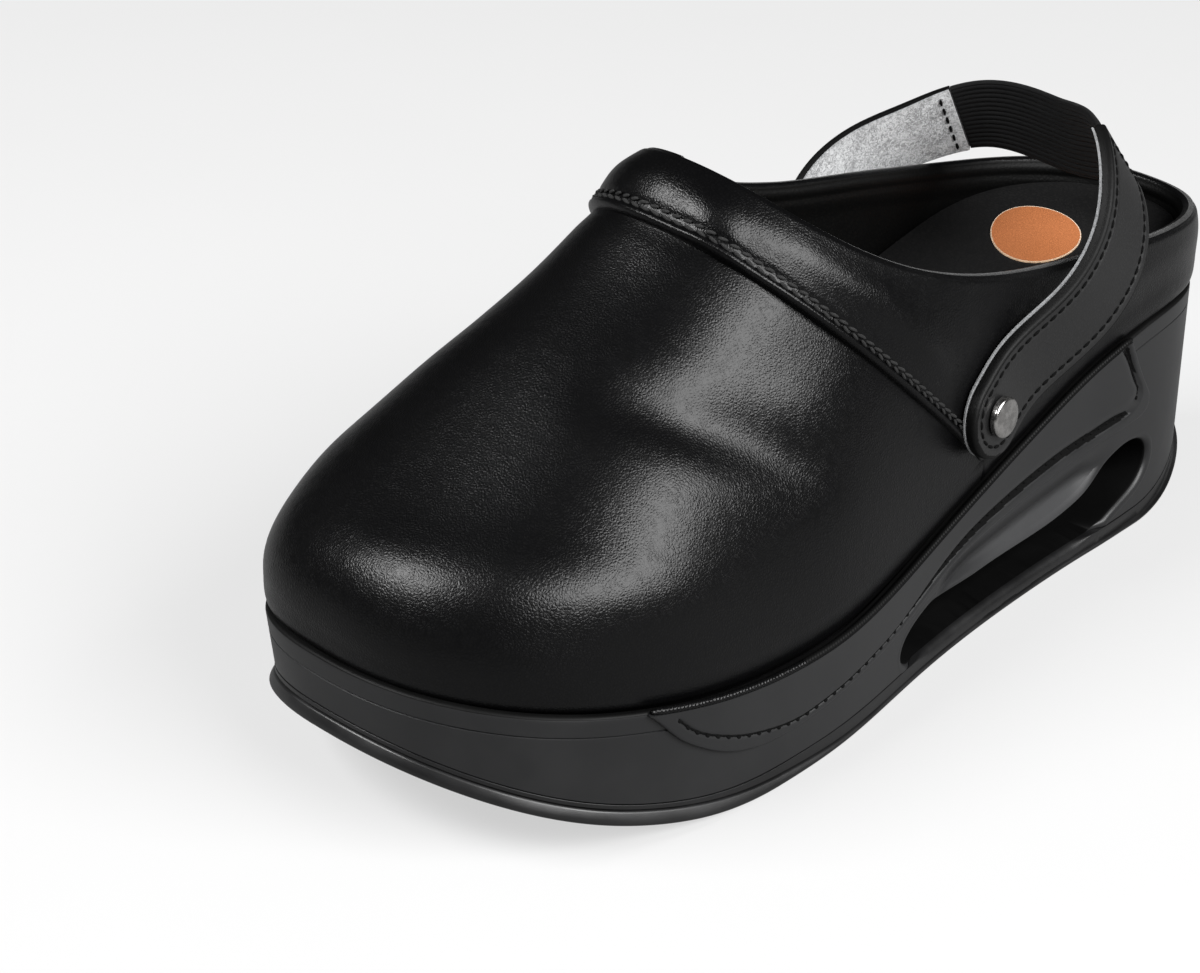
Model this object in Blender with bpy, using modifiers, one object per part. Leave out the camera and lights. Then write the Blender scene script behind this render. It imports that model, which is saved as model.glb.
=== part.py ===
"""Leather clog, left shoe, built over the sections of its last.

Sizes are in millimetres. Stations run along the shoe from the back of the heel (0) to the toe tip.
The toe points to -Y, the outer (lateral) side to +X, and the shoe stands on Z = 0.
"""
import math

import bmesh
import bpy
import numpy as np
from mathutils import Matrix, Vector

MM = 0.001
GAP = 0.3

# Plan of the shoe
LENGTH = 262.0
TOE_START = 200.0
TOE_SQUARENESS = 2.5
SOLE_MEDIAL_SQUARENESS = 2.15
HEEL_END = 55.0
HEEL_SQUARENESS = 2.3

# Outsole and platform
OUTSOLE_THICKNESS = 4.5
LIP_FLARE = 1.5
TOE_SPRING = 20.7
TOE_SPRING_START = 185.0
HEEL_SPRING = 15.5
HEEL_SPRING_END = 35.0
RIM_WIDTH = 2.2
WELL_DEPTH = 4.0
LINE_DROP = 4.7
LINE_STEP = 0.4
PANEL_REAR = 34.0
PANEL_STEP = 1.0
STEP_HEIGHT = 0.8
SLOT_LIP = 1.2
SLOT_TROUGH = 1.0

# Upper
WALL = 2.0
COLLAR_STEP = 1.0
COLLAR_FADE = 10.0
BULGE_HEIGHT = 6.5
TUCK = 6.0
TUCK_POWER = 1.4
TOPLINE_ROUND = 0.9
SEAM_FOOT = 104.5
SEAM_HEIGHT = 43.0
SEAM_SLOPE = 0.93

# Insole
INSOLE_CLEARANCE = 1.0

# Strap, elastic and rivets
RIVET_STATION = 106.0
RIVET_HEIGHT = 56.0
RIVET_CAP_RADIUS = 5.0
RIVET_CAP_HEIGHT = 2.4
RIVET_SHANK_RADIUS = 2.0
RIVET_BURR_RADIUS = 3.6
RIVET_BURR_HEIGHT = 0.8
STRAP_THICKNESS = 3.0
STRAP_STANDOFF = 0.7
STRAP_END_RADIUS = 10.0
STRAP_WIDTH = 20.0
ELASTIC_THICKNESS = 1.6

# Mesh density
REAR_COLUMNS = 15
FRONT_COLUMNS = 24
VAMP_ROWS = 10
COLLAR_ROWS = 5


def columns(names, *rows):
    return dict(zip(names.split(), np.array(rows, float).T))


# One row for each section of the last
SECTIONS = columns(
    "station centre half_width sole_top crown lean fullness inset footbed cup",
    (0.0, -2.6, 31.5, 53.5, 128.0, 0.0, 2.20, -0.6, 66.0, 1.5),
    (30.0, -2.2, 31.5, 54.3, 132.1, 0.4, 2.20, 0.0, 66.0, 2.5),
    (55.0, -1.0, 31.5, 50.9, 133.9, 0.2, 2.20, 0.6, 63.0, 3.0),
    (80.0, 0.8, 32.3, 44.1, 133.3, -1.0, 2.18, 0.6, 56.5, 3.0),
    (105.0, 2.4, 34.4, 37.1, 131.4, -3.4, 2.12, 0.6, 48.8, 2.2),
    (130.0, 3.6, 38.3, 31.4, 129.1, -6.8, 1.99, 0.9, 42.5, 2.2),
    (150.0, 4.2, 42.6, 28.4, 123.5, -9.0, 1.91, 1.2, 39.0, 2.0),
    (165.0, 4.2, 45.5, 27.1, 114.5, -9.6, 1.91, 1.4, 37.0, 1.5),
    (180.0, 3.6, 47.6, 26.9, 102.5, -9.0, 1.98, 1.6, 36.0, 1.0),
    (200.0, 2.2, 49.4, 28.2, 90.2, -6.6, 2.12, 1.8, 36.5, 1.0),
    (220.0, 0.3, 49.4, 30.6, 79.7, -4.5, 2.22, 1.9, 38.5, 1.0),
    (240.0, -1.8, 49.4, 33.5, 72.9, -3.1, 2.27, 1.9, 41.0, 1.0),
    (262.0, -6.0, 49.4, 36.8, 70.0, -2.0, 2.30, 1.8, 43.5, 1.0),
)

# Height of the topline on each side, and of the raised side panel's lower edge
TOPLINE = columns(
    "station lateral medial",
    (0.0, 71.5, 71.5),
    (40.0, 77.0, 77.0),
    (80.0, 83.3, 85.4),
    (125.0, 94.2, 95.2),
    (148.0, 107.0, 107.0),
    (175.0, 130.0, 130.0),
)
PANEL = columns(
    "station low_edge",
    (34.0, 33.0),
    (37.0, 30.6),
    (62.0, 28.8),
    (96.0, 25.4),
    (130.0, 16.9),
    (150.0, 13.0),
    (178.0, 11.2),
    (194.0, 13.0),
    (208.0, 18.1),
    (219.0, 25.8),
)

# The slot through the platform, in side view, around its edge
SLOT = columns(
    "station height",
    (137.0, 9.5),
    (132.0, 14.2),
    (122.0, 15.8),
    (100.0, 14.2),
    (75.0, 13.7),
    (60.0, 15.0),
    (51.0, 20.0),
    (42.5, 23.8),
    (34.0, 22.3),
    (30.5, 17.0),
    (35.0, 11.0),
    (46.0, 7.4),
    (60.0, 3.9),
    (95.0, 3.6),
    (128.0, 3.9),
)

# The strap loop: the width leans forward by tilt and outward by side, in degrees
STRAP_LOOP = columns(
    "x station height tilt side width",
    (39.8, 78.8, 72.7, 46.0, 4.0, 20.0),
    (37.6, 63.0, 87.7, 47.0, 4.0, 20.0),
    (25.4, 52.1, 99.0, 36.0, 5.0, 20.0),
    (4.4, 41.6, 94.8, 18.0, 5.0, 20.8),
    (-18.3, 43.2, 94.4, 17.0, 0.0, 18.8),
    (-32.4, 54.8, 88.3, 31.0, -4.0, 19.5),
    (-38.0, 67.4, 83.5, 41.0, -4.0, 20.0),
    (-38.6, 81.5, 75.8, 44.0, -4.0, 20.0),
)
STRAP_TIP = (114.2, 50.4)
STRAP_LEAD = (97.0, 61.7)
LATERAL_END_ROW = 5.0
MEDIAL_END_ROW = 7.4


# Shape functions

def spline(xs, ys):
    """Natural cubic spline through a table's points; ys may have several columns."""
    xs = np.asarray(xs, float)
    ys = np.asarray(ys, float)
    last = len(xs) - 1
    step = np.diff(xs)
    slope = (np.diff(ys, axis=0).T / step).T
    system = np.eye(last + 1)
    change = np.zeros_like(ys)
    for i in range(1, last):
        system[i, i - 1:i + 2] = step[i - 1], 2 * (step[i - 1] + step[i]), step[i]
        change[i] = 6 * (slope[i] - slope[i - 1])
    bend = np.linalg.solve(system, change)

    def value(x):
        x = np.clip(np.asarray(x, float), xs[0], xs[-1])
        i = np.clip(np.searchsorted(xs, x) - 1, 0, last - 1)
        low = (xs[i + 1] - x) / step[i]
        high = (x - xs[i]) / step[i]
        scale = step[i] ** 2 / 6
        parts = (low, high, (low**3 - low) * scale, (high**3 - high) * scale)
        ends = (ys[i], ys[i + 1], bend[i], bend[i + 1])
        return sum((part * end.T).T for part, end in zip(parts, ends))
    return value


def table_splines(table):
    return {name: spline(table["station"], table[name]) for name in table if name != "station"}


section = table_splines(SECTIONS)
topline_height = table_splines(TOPLINE)
panel_edge = table_splines(PANEL)["low_edge"]
TOE_REACH = LENGTH - TOE_START - section["inset"](LENGTH)
HEEL_REACH = HEEL_END - section["inset"](0.0)


def smooth(x):
    x = np.clip(x, 0.0, 1.0)
    return x * x * (3 - 2 * x)


def toe_part(s):
    return np.clip((s - TOE_START) / (LENGTH - TOE_START), 0, 1)


def heel_part(s):
    return np.clip((HEEL_END - s) / HEEL_END, 0, 1)


def rounding(s, toe_power=TOE_SQUARENESS):
    """Share of the half width that the rounded toe and heel leave at a station."""
    toe = (1 - toe_part(s) ** toe_power) ** (1 / toe_power)
    heel = (1 - heel_part(s) ** HEEL_SQUARENESS) ** (1 / HEEL_SQUARENESS)
    return toe * heel


def outline_offset(s, side=1):
    power = np.where(side > 0, TOE_SQUARENESS, SOLE_MEDIAL_SQUARENESS)
    return side * section["half_width"](s) * rounding(s, power)


def sole_bottom(s):
    toe = TOE_SPRING * np.clip((s - TOE_SPRING_START) / (LENGTH - TOE_SPRING_START), 0, 1) ** 2
    heel = HEEL_SPRING * np.clip((HEEL_SPRING_END - s) / HEEL_SPRING_END, 0, 1) ** 2
    return toe + heel


def in_panel(s):
    return (s >= PANEL_REAR) & (s <= PANEL["station"][-1])


def band_edge(s):
    """Lower edge of the platform's top band, which dips into the side panel."""
    return np.where(in_panel(s), panel_edge(s), section["sole_top"](s) - LINE_DROP)


def widest_height(s):
    return section["sole_top"](s) + BULGE_HEIGHT


def over_well(ring):
    """Height just above the floor of the platform's well, under a level ring."""
    return section["sole_top"](LENGTH / 2 - ring[:, 1]) - WELL_DEPTH + 1.5 * GAP


def clear_width(s):
    return section["half_width"](s) - section["inset"](s)


def plan_share(across, s):
    """0 on the spine of the last, 1 on the upper's widest outline."""
    share = np.abs(across) / clear_width(s)
    toe = np.clip((s - TOE_START) / TOE_REACH, 0, None)
    heel = np.clip((HEEL_END - s) / HEEL_REACH, 0, None)
    toe_share = (share**TOE_SQUARENESS + toe**TOE_SQUARENESS) ** (1 / TOE_SQUARENESS)
    heel_share = (share**HEEL_SQUARENESS + heel**HEEL_SQUARENESS) ** (1 / HEEL_SQUARENESS)
    return np.where(s > TOE_START, toe_share, np.where(s < HEEL_END, heel_share, share))


def last_point(across, s):
    """Point of the last's skin over a place in the straightened plan."""
    across = np.asarray(across, float)
    s = np.asarray(s, float)
    power = section["fullness"](s)
    rise = (1 - np.clip(plan_share(across, s), 0, 1) ** power) ** (1 / power)
    low = widest_height(s)
    x = section["centre"](s) + across + section["lean"](s) * rise
    return np.stack([x, LENGTH / 2 - s, low + (section["crown"](s) - low) * rise], -1)


def last_field(points):
    """Grows outwards through the last's skin, where it is 1."""
    x, y, z = points.T
    s = LENGTH / 2 - y
    low = widest_height(s)
    rise = np.clip((z - low) / (section["crown"](s) - low), 0, None)
    across = x - section["centre"](s) - section["lean"](s) * rise
    power = section["fullness"](s)
    return rise**power + plan_share(across, s) ** power


def last_normal(points, reach=0.05):
    flat = points.reshape(-1, 3)
    slope = [last_field(flat + step) - last_field(flat - step) for step in reach * np.eye(3)]
    normal = np.stack(slope, -1)
    return (normal / np.linalg.norm(normal, axis=1)[:, None]).reshape(points.shape)


def share_at_height(s, z):
    power = section["fullness"](s)
    low = widest_height(s)
    rise = np.clip((z - low) / (section["crown"](s) - low), 0, 1)
    return (1 - rise**power) ** (1 / power)


def upper_plan(s, side, share):
    """Straightened plan place at a share of the way out to the outline's station s."""
    place = np.where(s > TOE_START, TOE_START + toe_part(s) * share * TOE_REACH, s)
    place = np.where(s < HEEL_END, HEEL_END - heel_part(s) * share * HEEL_REACH, place)
    across = side * share * rounding(s) * clear_width(place)
    return np.stack([across, place + 0 * across], -1)


def resample(points, count):
    """Points spread evenly by length along a fine polyline of one or more columns."""
    run = np.linalg.norm(np.diff(points, axis=0), axis=1)
    run = np.concatenate([[0], np.cumsum(run)])
    wanted = np.linspace(0, run[-1], count)
    return np.stack([np.interp(wanted, run, column) for column in points.T], -1)


def even_stations(first, last, count):
    s = first + (last - first) * (1 - np.cos(np.linspace(0, math.pi, 2000))) / 2
    return resample(np.stack([s, outline_offset(s)], -1), count + 1)[:, 0]


# Mesh helpers

def loop_of(stations):
    """Stations and sides around the shoe: heel, lateral side, toe, medial side."""
    s = np.concatenate([stations, stations[-2:0:-1]])
    side = np.concatenate([np.ones(len(stations)), -np.ones(len(stations) - 2)])
    return s, side


def outward(ring):
    """Level outward normals of a ring that runs clockwise seen from above."""
    along = np.roll(ring, -1, 0) - np.roll(ring, 1, 0)
    normal = np.stack([-along[:, 1], along[:, 0]], -1)
    return normal / np.linalg.norm(normal, axis=1)[:, None]


class Net:
    """Vertices and faces of one body, gathered ring by ring."""

    def __init__(self):
        self.points = []
        self.faces = []

    def add(self, points):
        first = len(self.points)
        self.points.extend(np.asarray(points, float).reshape(-1, 3).tolist())
        return np.arange(first, len(self.points))

    def face(self, *corners):
        corners = list(dict.fromkeys(int(c) for c in corners))
        if len(corners) > 2:
            self.faces.append(corners)

    def strip(self, low, high, closed=True):
        for i in range(len(low) if closed else len(low) - 1):
            j = (i + 1) % len(low)
            self.face(low[i], low[j], high[j], high[i])

    def ladder(self, ring):
        """Closes a loop with rungs between its two sides."""
        count = len(ring)
        for i in range(count // 2):
            self.face(ring[i], ring[i + 1], ring[(count - i - 1) % count], ring[(count - i) % count])


STATIONS = np.concatenate([
    even_stations(0, SEAM_FOOT, REAR_COLUMNS)[:-1], even_stations(SEAM_FOOT, LENGTH, FRONT_COLUMNS)])
STATIONS = np.sort(np.concatenate([STATIONS, [PANEL_REAR - 0.8, PANEL_REAR + 0.2]]))
FOOT_COLUMN = int(np.argmin(np.abs(STATIONS - SEAM_FOOT)))
loop_s, loop_side = loop_of(STATIONS)
plan_ring = np.stack([
    section["centre"](loop_s) + outline_offset(loop_s, loop_side), LENGTH / 2 - loop_s], -1)
plan_normal = outward(plan_ring)
lip_ring = plan_ring + plan_normal * LIP_FLARE
CENTRE_X = (lip_ring[:, 0].max() + lip_ring[:, 0].min()) / 2

collection = bpy.data.collections.new("leather_clog")
cutters = bpy.data.collections.new("cutters")


def to_world(points):
    """Millimetres to metres, with the origin under the middle of the outsole."""
    return (np.asarray(points, float) - (CENTRE_X, 0, 0)) * MM


def make_material(name, colour, roughness, metallic=0.0):
    material = bpy.data.materials.new(name)
    material.use_nodes = True
    shader = material.node_tree.nodes["Principled BSDF"]
    shader.inputs["Base Color"].default_value = (*colour, 1)
    shader.inputs["Roughness"].default_value = roughness
    shader.inputs["Metallic"].default_value = metallic
    return material


def make_object(name, net, material, smooth_angle=35):
    mesh = bpy.data.meshes.new(name)
    mesh.from_pydata(to_world(net.points).tolist(), [], net.faces)
    work = bmesh.new()
    work.from_mesh(mesh)
    bmesh.ops.recalc_face_normals(work, faces=work.faces)
    work.to_mesh(mesh)
    work.free()
    return place_mesh(name, mesh, material, smooth_angle)


def place_mesh(name, mesh, material, smooth_angle=35):
    mesh.shade_smooth()
    mesh.set_sharp_from_angle(angle=math.radians(smooth_angle))
    mesh.materials.append(material)
    thing = bpy.data.objects.new(name, mesh)
    collection.objects.link(thing)
    return thing


def cut(thing, cutter):
    modifier = thing.modifiers.new("cut", "BOOLEAN")
    modifier.operation = "DIFFERENCE"
    modifier.object = cutter


def level_rings(net, rows):
    """Rings at outward offsets and heights over the outline, joined upwards."""
    rings = []
    for offset, height in rows:
        offset = np.broadcast_to(offset, loop_s.shape)
        height = np.broadcast_to(height, loop_s.shape)
        ring = plan_ring + plan_normal * offset[:, None]
        rings.append(net.add(np.column_stack([ring, height])))
    for low, high in zip(rings, rings[1:]):
        net.strip(low, high)
    return rings


# The pieces

def make_outsole():
    floor = sole_bottom(loop_s)
    net = Net()
    rings = level_rings(net, (
        (0.0, floor),
        (0.6 * LIP_FLARE, floor + 0.35),
        (LIP_FLARE, floor + 1.4),
        (LIP_FLARE, floor + 2.8),
        (0.3, floor + OUTSOLE_THICKNESS),
    ))
    net.ladder(rings[0])
    net.ladder(rings[-1])
    return make_object("outsole", net, make_material("outsole rubber", (0.02, 0.02, 0.021), 0.5))


def make_slot_cutter():
    stations = SLOT["station"]
    ring = np.stack([LENGTH / 2 - stations, SLOT["height"]], -1)
    closed = np.concatenate([ring, ring[:1]])
    run = np.arange(len(closed))
    edge = spline(np.concatenate([run[:-1] - len(ring), run, run[1:] + len(ring)]),
                  np.concatenate([ring, closed, ring[1:], ring[:1]]))
    points = edge(np.linspace(0, len(ring), 3 * len(ring), endpoint=False)) * MM
    curve = bpy.data.curves.new("slot outline", "CURVE")
    curve.dimensions = "2D"
    curve.fill_mode = "BOTH"
    curve.extrude = LENGTH / 2 * MM
    path = curve.splines.new("POLY")
    path.points.add(len(points) - 1)
    path.points.foreach_set("co", np.column_stack([points, 0 * points]).ravel())
    path.use_cyclic_u = True
    drawn = bpy.data.objects.new("slot outline", curve)
    cutters.objects.link(drawn)
    bpy.context.view_layer.update()
    graph = bpy.context.evaluated_depsgraph_get()
    mesh = bpy.data.meshes.new_from_object(drawn.evaluated_get(graph))
    bpy.data.objects.remove(drawn)
    work = bmesh.new()
    work.from_mesh(mesh)
    bmesh.ops.remove_doubles(work, verts=work.verts, dist=0.00001)
    bmesh.ops.recalc_face_normals(work, faces=work.faces)
    work.to_mesh(mesh)
    work.free()
    side_on = Matrix(((0, 0, 1), (1, 0, 0), (0, 1, 0))).to_4x4()
    return place_cutter("slot_cutter", mesh, side_on)


def place_cutter(name, mesh, matrix):
    cutter = bpy.data.objects.new(name, mesh)
    cutters.objects.link(cutter)
    cutter.matrix_world = matrix
    cutter.hide_render = True
    cutter.display_type = "WIRE"
    return cutter


def make_sole():
    base = sole_bottom(loop_s) + OUTSOLE_THICKNESS + GAP
    top = section["sole_top"](loop_s)
    edge = band_edge(loop_s)
    step = np.where(in_panel(loop_s), PANEL_STEP, LINE_STEP)
    near_slot = smooth((loop_s - 44) / 16) * smooth((130 - loop_s) / 20)
    net = Net()
    rings = level_rings(net, (
        (0.0, base),
        (SLOT_LIP * near_slot, base + 0.5 * (edge - base)),
        (-SLOT_TROUGH * near_slot, base + 0.78 * (edge - base)),
        (0.0, edge),
        (step, edge + STEP_HEIGHT),
        (step, top - STEP_HEIGHT),
        (step - STEP_HEIGHT, top),
        (-RIM_WIDTH, top),
        (-RIM_WIDTH, top - WELL_DEPTH),
    ))
    net.ladder(rings[0])
    net.ladder(rings[-1])
    sole = make_object("sole", net, make_material("platform foam", (0.035, 0.035, 0.037), 0.55))
    cut(sole, make_slot_cutter())
    return sole


def seam_line(side, count):
    """Places from the seam's foot up to the crown, where an inclined plane meets the last."""
    s = np.linspace(SEAM_FOOT, TOE_START, 4000)
    height = SEAM_HEIGHT + SEAM_SLOPE * (s - SEAM_FOOT)
    end = s[np.argmax(height >= section["crown"](s))]
    s = SEAM_FOOT + (end - SEAM_FOOT) * np.sin(np.linspace(0, math.pi / 2, 400))
    height = SEAM_HEIGHT + SEAM_SLOPE * (s - SEAM_FOOT)
    share = share_at_height(s, np.maximum(height, widest_height(s)))
    share[-1] = 0.0
    return even_places(upper_plan(s, side, share), count)


def topline(side, name, first, last, count=400):
    """Places along the topline between two outline stations."""
    s = first + (last - first) * np.sin(np.linspace(0, math.pi / 2, count))
    share = share_at_height(s, topline_height[name](s))
    return upper_plan(s, side, share)


def throat_station():
    s = np.linspace(SEAM_FOOT, TOPLINE["station"][-1], 4000)
    return s[np.argmax(topline_height["lateral"](s) >= section["crown"](s))]


def even_places(places, count):
    """Spreads plan places evenly by their length on the last's skin."""
    skin = last_point(places[:, 0], places[:, 1])
    return resample_with(skin, places, count)


def resample_with(skin, places, count):
    run = np.linalg.norm(np.diff(skin, axis=0), axis=1)
    run = np.concatenate([[0], np.cumsum(run)])
    wanted = np.linspace(0, run[-1], count)
    return np.stack([np.interp(wanted, run, column) for column in places.T], -1)


def rising_line(start, end, count):
    """Skin points from one plan place to another, spread evenly by length."""
    part = np.linspace(0, 1, 160)[:, None] ** 2
    places = start + (end - start) * part
    return resample(last_point(places[:, 0], places[:, 1]), count)


def upper_nets():
    """Base skin of the upper as a band below the widest line, a vamp and a collar."""
    widest = upper_plan(loop_s, loop_side, 1.0)
    widest_skin = last_point(widest[:, 0], widest[:, 1])
    turn = outward(widest_skin[:, :2])
    feather = over_well(widest_skin[:, :2] - turn * TUCK)
    band = []
    for part in (1.0, 0.65, 0.3):
        ring = widest_skin[:, :2] - turn * TUCK * part**TUCK_POWER
        band.append(np.column_stack([ring, widest_skin[:, 2] + part * (feather - widest_skin[:, 2])]))
    front = len(STATIONS) - FOOT_COLUMN
    throat = throat_station()
    seams = [seam_line(side, front) for side in (1, -1)]
    seam = np.concatenate([seams[0], seams[1][-2::-1]])
    tops = []
    for side, name in ((1, "lateral"), (-1, "medial")):
        line = topline(side, name, SEAM_FOOT, throat)
        line[-1, 0] = 0.0
        tops.append(even_places(line, front))
    top_front = np.concatenate([tops[0], tops[1][-2::-1]])
    front_columns = np.arange(FOOT_COLUMN, len(loop_s) - FOOT_COLUMN + 1)
    rear = np.ones(len(loop_s), bool)
    rear[front_columns] = False
    top = np.zeros((len(loop_s), 2))
    top[front_columns] = top_front
    for side, name in ((1, "lateral"), (-1, "medial")):
        chosen = rear & (loop_side == side)
        share = share_at_height(loop_s[chosen], topline_height[name](loop_s[chosen]))
        top[chosen] = upper_plan(loop_s[chosen], side, share)
    start = widest.copy()
    start[front_columns] = seam
    vamp = [rising_line(widest[c], seam[i], VAMP_ROWS + 1) for i, c in enumerate(front_columns)]
    collar = [rising_line(start[c], top[c], COLLAR_ROWS + 1) for c in range(len(loop_s))]
    return band, widest_skin, np.array(vamp), np.array(collar), front_columns, rear


def collar_lift(collar, rear):
    """How far each collar point stands proud of the vamp's skin."""
    run = np.linalg.norm(np.diff(collar, axis=1), axis=2)
    run = np.concatenate([np.zeros((len(collar), 1)), np.cumsum(run, axis=1)], axis=1)
    away = collar[:, 0, 2] - widest_height(LENGTH / 2 - collar[:, 0, 1])
    height = np.where(rear[:, None], run, run + 1.4 * away[:, None])
    return COLLAR_STEP * smooth(height / COLLAR_FADE)


def make_upper(rivet_cutters):
    band, widest, vamp, collar, front, rear = upper_nets()
    lift = collar_lift(collar, rear)
    net = Net()
    skin = []

    def add(points, raised=0.0):
        points = np.asarray(points).reshape(-1, 3)
        normal = last_normal(points)
        index = net.add(points + normal * np.reshape(raised, (-1, 1)))
        skin.append(points - normal * WALL)
        return index

    rings = [add(ring) for ring in band] + [add(widest)]
    for low, high in zip(rings, rings[1:]):
        net.strip(low, high)
    wide = rings[-1]
    feet = {front[0], front[-1]}
    low = wide[front]
    for row in range(1, VAMP_ROWS + 1):
        high = add(vamp[:, row])
        high[[0, -1]] = wide[front[[0, -1]]]
        net.strip(low, high, closed=False)
        low = high
    seam_edge = low
    raised_edge = add(collar[:, 0], lift[:, 0])
    raised_edge[rear] = wide[rear]
    raised_edge[list(feet)] = wide[list(feet)]
    net.strip(seam_edge, raised_edge[front], closed=False)
    low = raised_edge
    for row in range(1, COLLAR_ROWS + 1):
        high = add(collar[:, row], lift[:, row])
        net.strip(low, high)
        low = high
    topline_edge = low

    inner = np.concatenate(skin)
    partner = np.arange(len(inner))
    partner[raised_edge[front]] = seam_edge
    base = len(net.points)
    net.add(inner)
    for face in list(net.faces):
        net.face(*(base + partner[c] for c in face))
    net.strip(rings[0], base + partner[rings[0]])
    crest = np.array(net.points)
    middle = (crest[topline_edge] + crest[base + topline_edge]) / 2
    rise = collar[:, -1] - collar[:, -2]
    rise = rise / np.linalg.norm(rise, axis=1)[:, None]
    crest_ring = net.add(middle + rise * TOPLINE_ROUND)
    net.strip(topline_edge, crest_ring)
    net.strip(crest_ring, base + topline_edge)
    used = sorted({c for face in net.faces for c in face})
    renumber = {c: i for i, c in enumerate(used)}
    net.points = [net.points[c] for c in used]
    net.faces = [[renumber[c] for c in face] for face in net.faces]
    upper = make_object("upper", net, make_material("black leather", (0.012, 0.012, 0.013), 0.35))
    for cutter in rivet_cutters:
        cut(upper, cutter)
    return upper


def inner_wall_ring(height):
    """Level ring just inside the upper's inner wall, at a height for each column."""
    widest = upper_plan(loop_s, loop_side, 1.0)
    ring = last_point(widest[:, 0], widest[:, 1])[:, :2]
    turn = outward(ring)
    low = widest_height(loop_s)
    depth = BULGE_HEIGHT + WELL_DEPTH - GAP
    part = np.clip((low - height) / depth, 0, 1)
    share = share_at_height(loop_s, height)
    lean_in = (1 - share) * np.linalg.norm(ring - spine_points(), axis=1)
    inward = TUCK * part**TUCK_POWER + lean_in + WALL + INSOLE_CLEARANCE
    return ring - turn * inward[:, None]


def spine_points():
    s = np.clip(loop_s, HEEL_END, TOE_START)
    return np.stack([section["centre"](s), LENGTH / 2 - s], -1)


def make_insole():
    bottom = over_well(inner_wall_ring(section["sole_top"](loop_s) - WELL_DEPTH))
    centre = section["footbed"](loop_s)
    edge = centre + section["cup"](loop_s)
    net = Net()
    low = net.add(np.column_stack([inner_wall_ring(bottom), bottom]))
    rim = inner_wall_ring(edge)
    spine = spine_points()
    rings = [net.add(np.column_stack([inner_wall_ring((bottom + edge) / 2), (bottom + edge) / 2]))]
    for part in (1.0, 0.72, 0.4):
        ring = spine + (rim - spine) * part
        local = section["footbed"](LENGTH / 2 - ring[:, 1])
        cup = section["cup"](LENGTH / 2 - ring[:, 1])
        rings.append(net.add(np.column_stack([ring, local + cup * part**2.4])))
    net.ladder(low)
    for below, above in zip([low] + rings, rings):
        net.strip(below, above)
    net.ladder(rings[-1])
    return make_object("insole", net, make_material("footbed cover", (0.02, 0.02, 0.022), 0.6), 60)


def wall_place(station, height, side):
    """Point and outward normal on the last's skin at a station and height."""
    share = share_at_height(station, height)
    place = upper_plan(np.float64(station), side, share)
    point = last_point(place[0], place[1])
    return point, last_normal(point[None])[0]


def strap_path():
    """Centre points, width directions and widths of the whole strap loop, lateral tip first."""
    points, widths, turns = [], [], []

    def against_wall(side, *places):
        for station, height in places:
            point, normal = wall_place(station, height, side)
            stand = COLLAR_STEP + STRAP_STANDOFF + STRAP_THICKNESS / 2
            points.append(point + normal * stand)
            climb = math.atan2(STRAP_LEAD[1] - STRAP_TIP[1], STRAP_TIP[0] - STRAP_LEAD[0])
            lean = np.array((0, -math.sin(climb), math.cos(climb)))
            turns.append(lean - normal * lean.dot(normal))
            widths.append(STRAP_WIDTH)

    rivet = (RIVET_STATION, RIVET_HEIGHT)
    against_wall(1, STRAP_TIP, rivet, STRAP_LEAD)
    for x, s, z, tilt, side, width in zip(*STRAP_LOOP.values()):
        tilt, side = math.radians(tilt), math.radians(side)
        points.append(np.array((x, LENGTH / 2 - s, z)))
        level = math.cos(side)
        turns.append(np.array((-math.sin(side), -math.sin(tilt) * level, math.cos(tilt) * level)))
        widths.append(width)
    against_wall(-1, STRAP_LEAD, rivet, STRAP_TIP)
    rows = np.column_stack([points, turns, widths])
    run = np.concatenate([[0], np.cumsum(np.linalg.norm(np.diff(rows[:, :3], axis=0), axis=1))])
    return run, spline(run, rows)


def row_run(run, row):
    return float(np.interp(row, np.arange(len(run)), run))


def make_band(name, run_points, end_distance, thickness, material, cutters_used=()):
    """A flat strip along the strap's path; its width narrows to round ends by the tip distance."""
    path = strap_path()[1]
    rows = path(run_points)
    along = path(run_points + 0.2)[:, :3] - path(run_points - 0.2)[:, :3]
    along /= np.linalg.norm(along, axis=1)[:, None]
    across = rows[:, 3:6] - along * np.sum(rows[:, 3:6] * along, 1)[:, None]
    across /= np.linalg.norm(across, axis=1)[:, None]
    face = np.cross(along, across)
    reach = np.clip(STRAP_END_RADIUS - end_distance, 0, STRAP_END_RADIUS)
    half = rows[:, 6:7] / 2 * np.sqrt(1 - (reach[:, None] / STRAP_END_RADIUS) ** 2)
    net = Net()
    corners = ((1, 1), (1, -1), (-1, -1), (-1, 1))
    rings = []
    for i in range(len(rows)):
        ring = [rows[i, :3] + across[i] * half[i] * u + face[i] * thickness / 2 * v for u, v in corners]
        rings.append(net.add(ring))
    for low, high in zip(rings, rings[1:]):
        net.strip(low, high)
    net.face(*rings[0])
    net.face(*rings[-1])
    thing = make_object(name, net, material)
    for cutter in cutters_used:
        cut(thing, cutter)
    return thing


def tip_spacing():
    return STRAP_END_RADIUS * (1 - np.cos(np.linspace(0.18, math.pi / 2, 6)))


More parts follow.
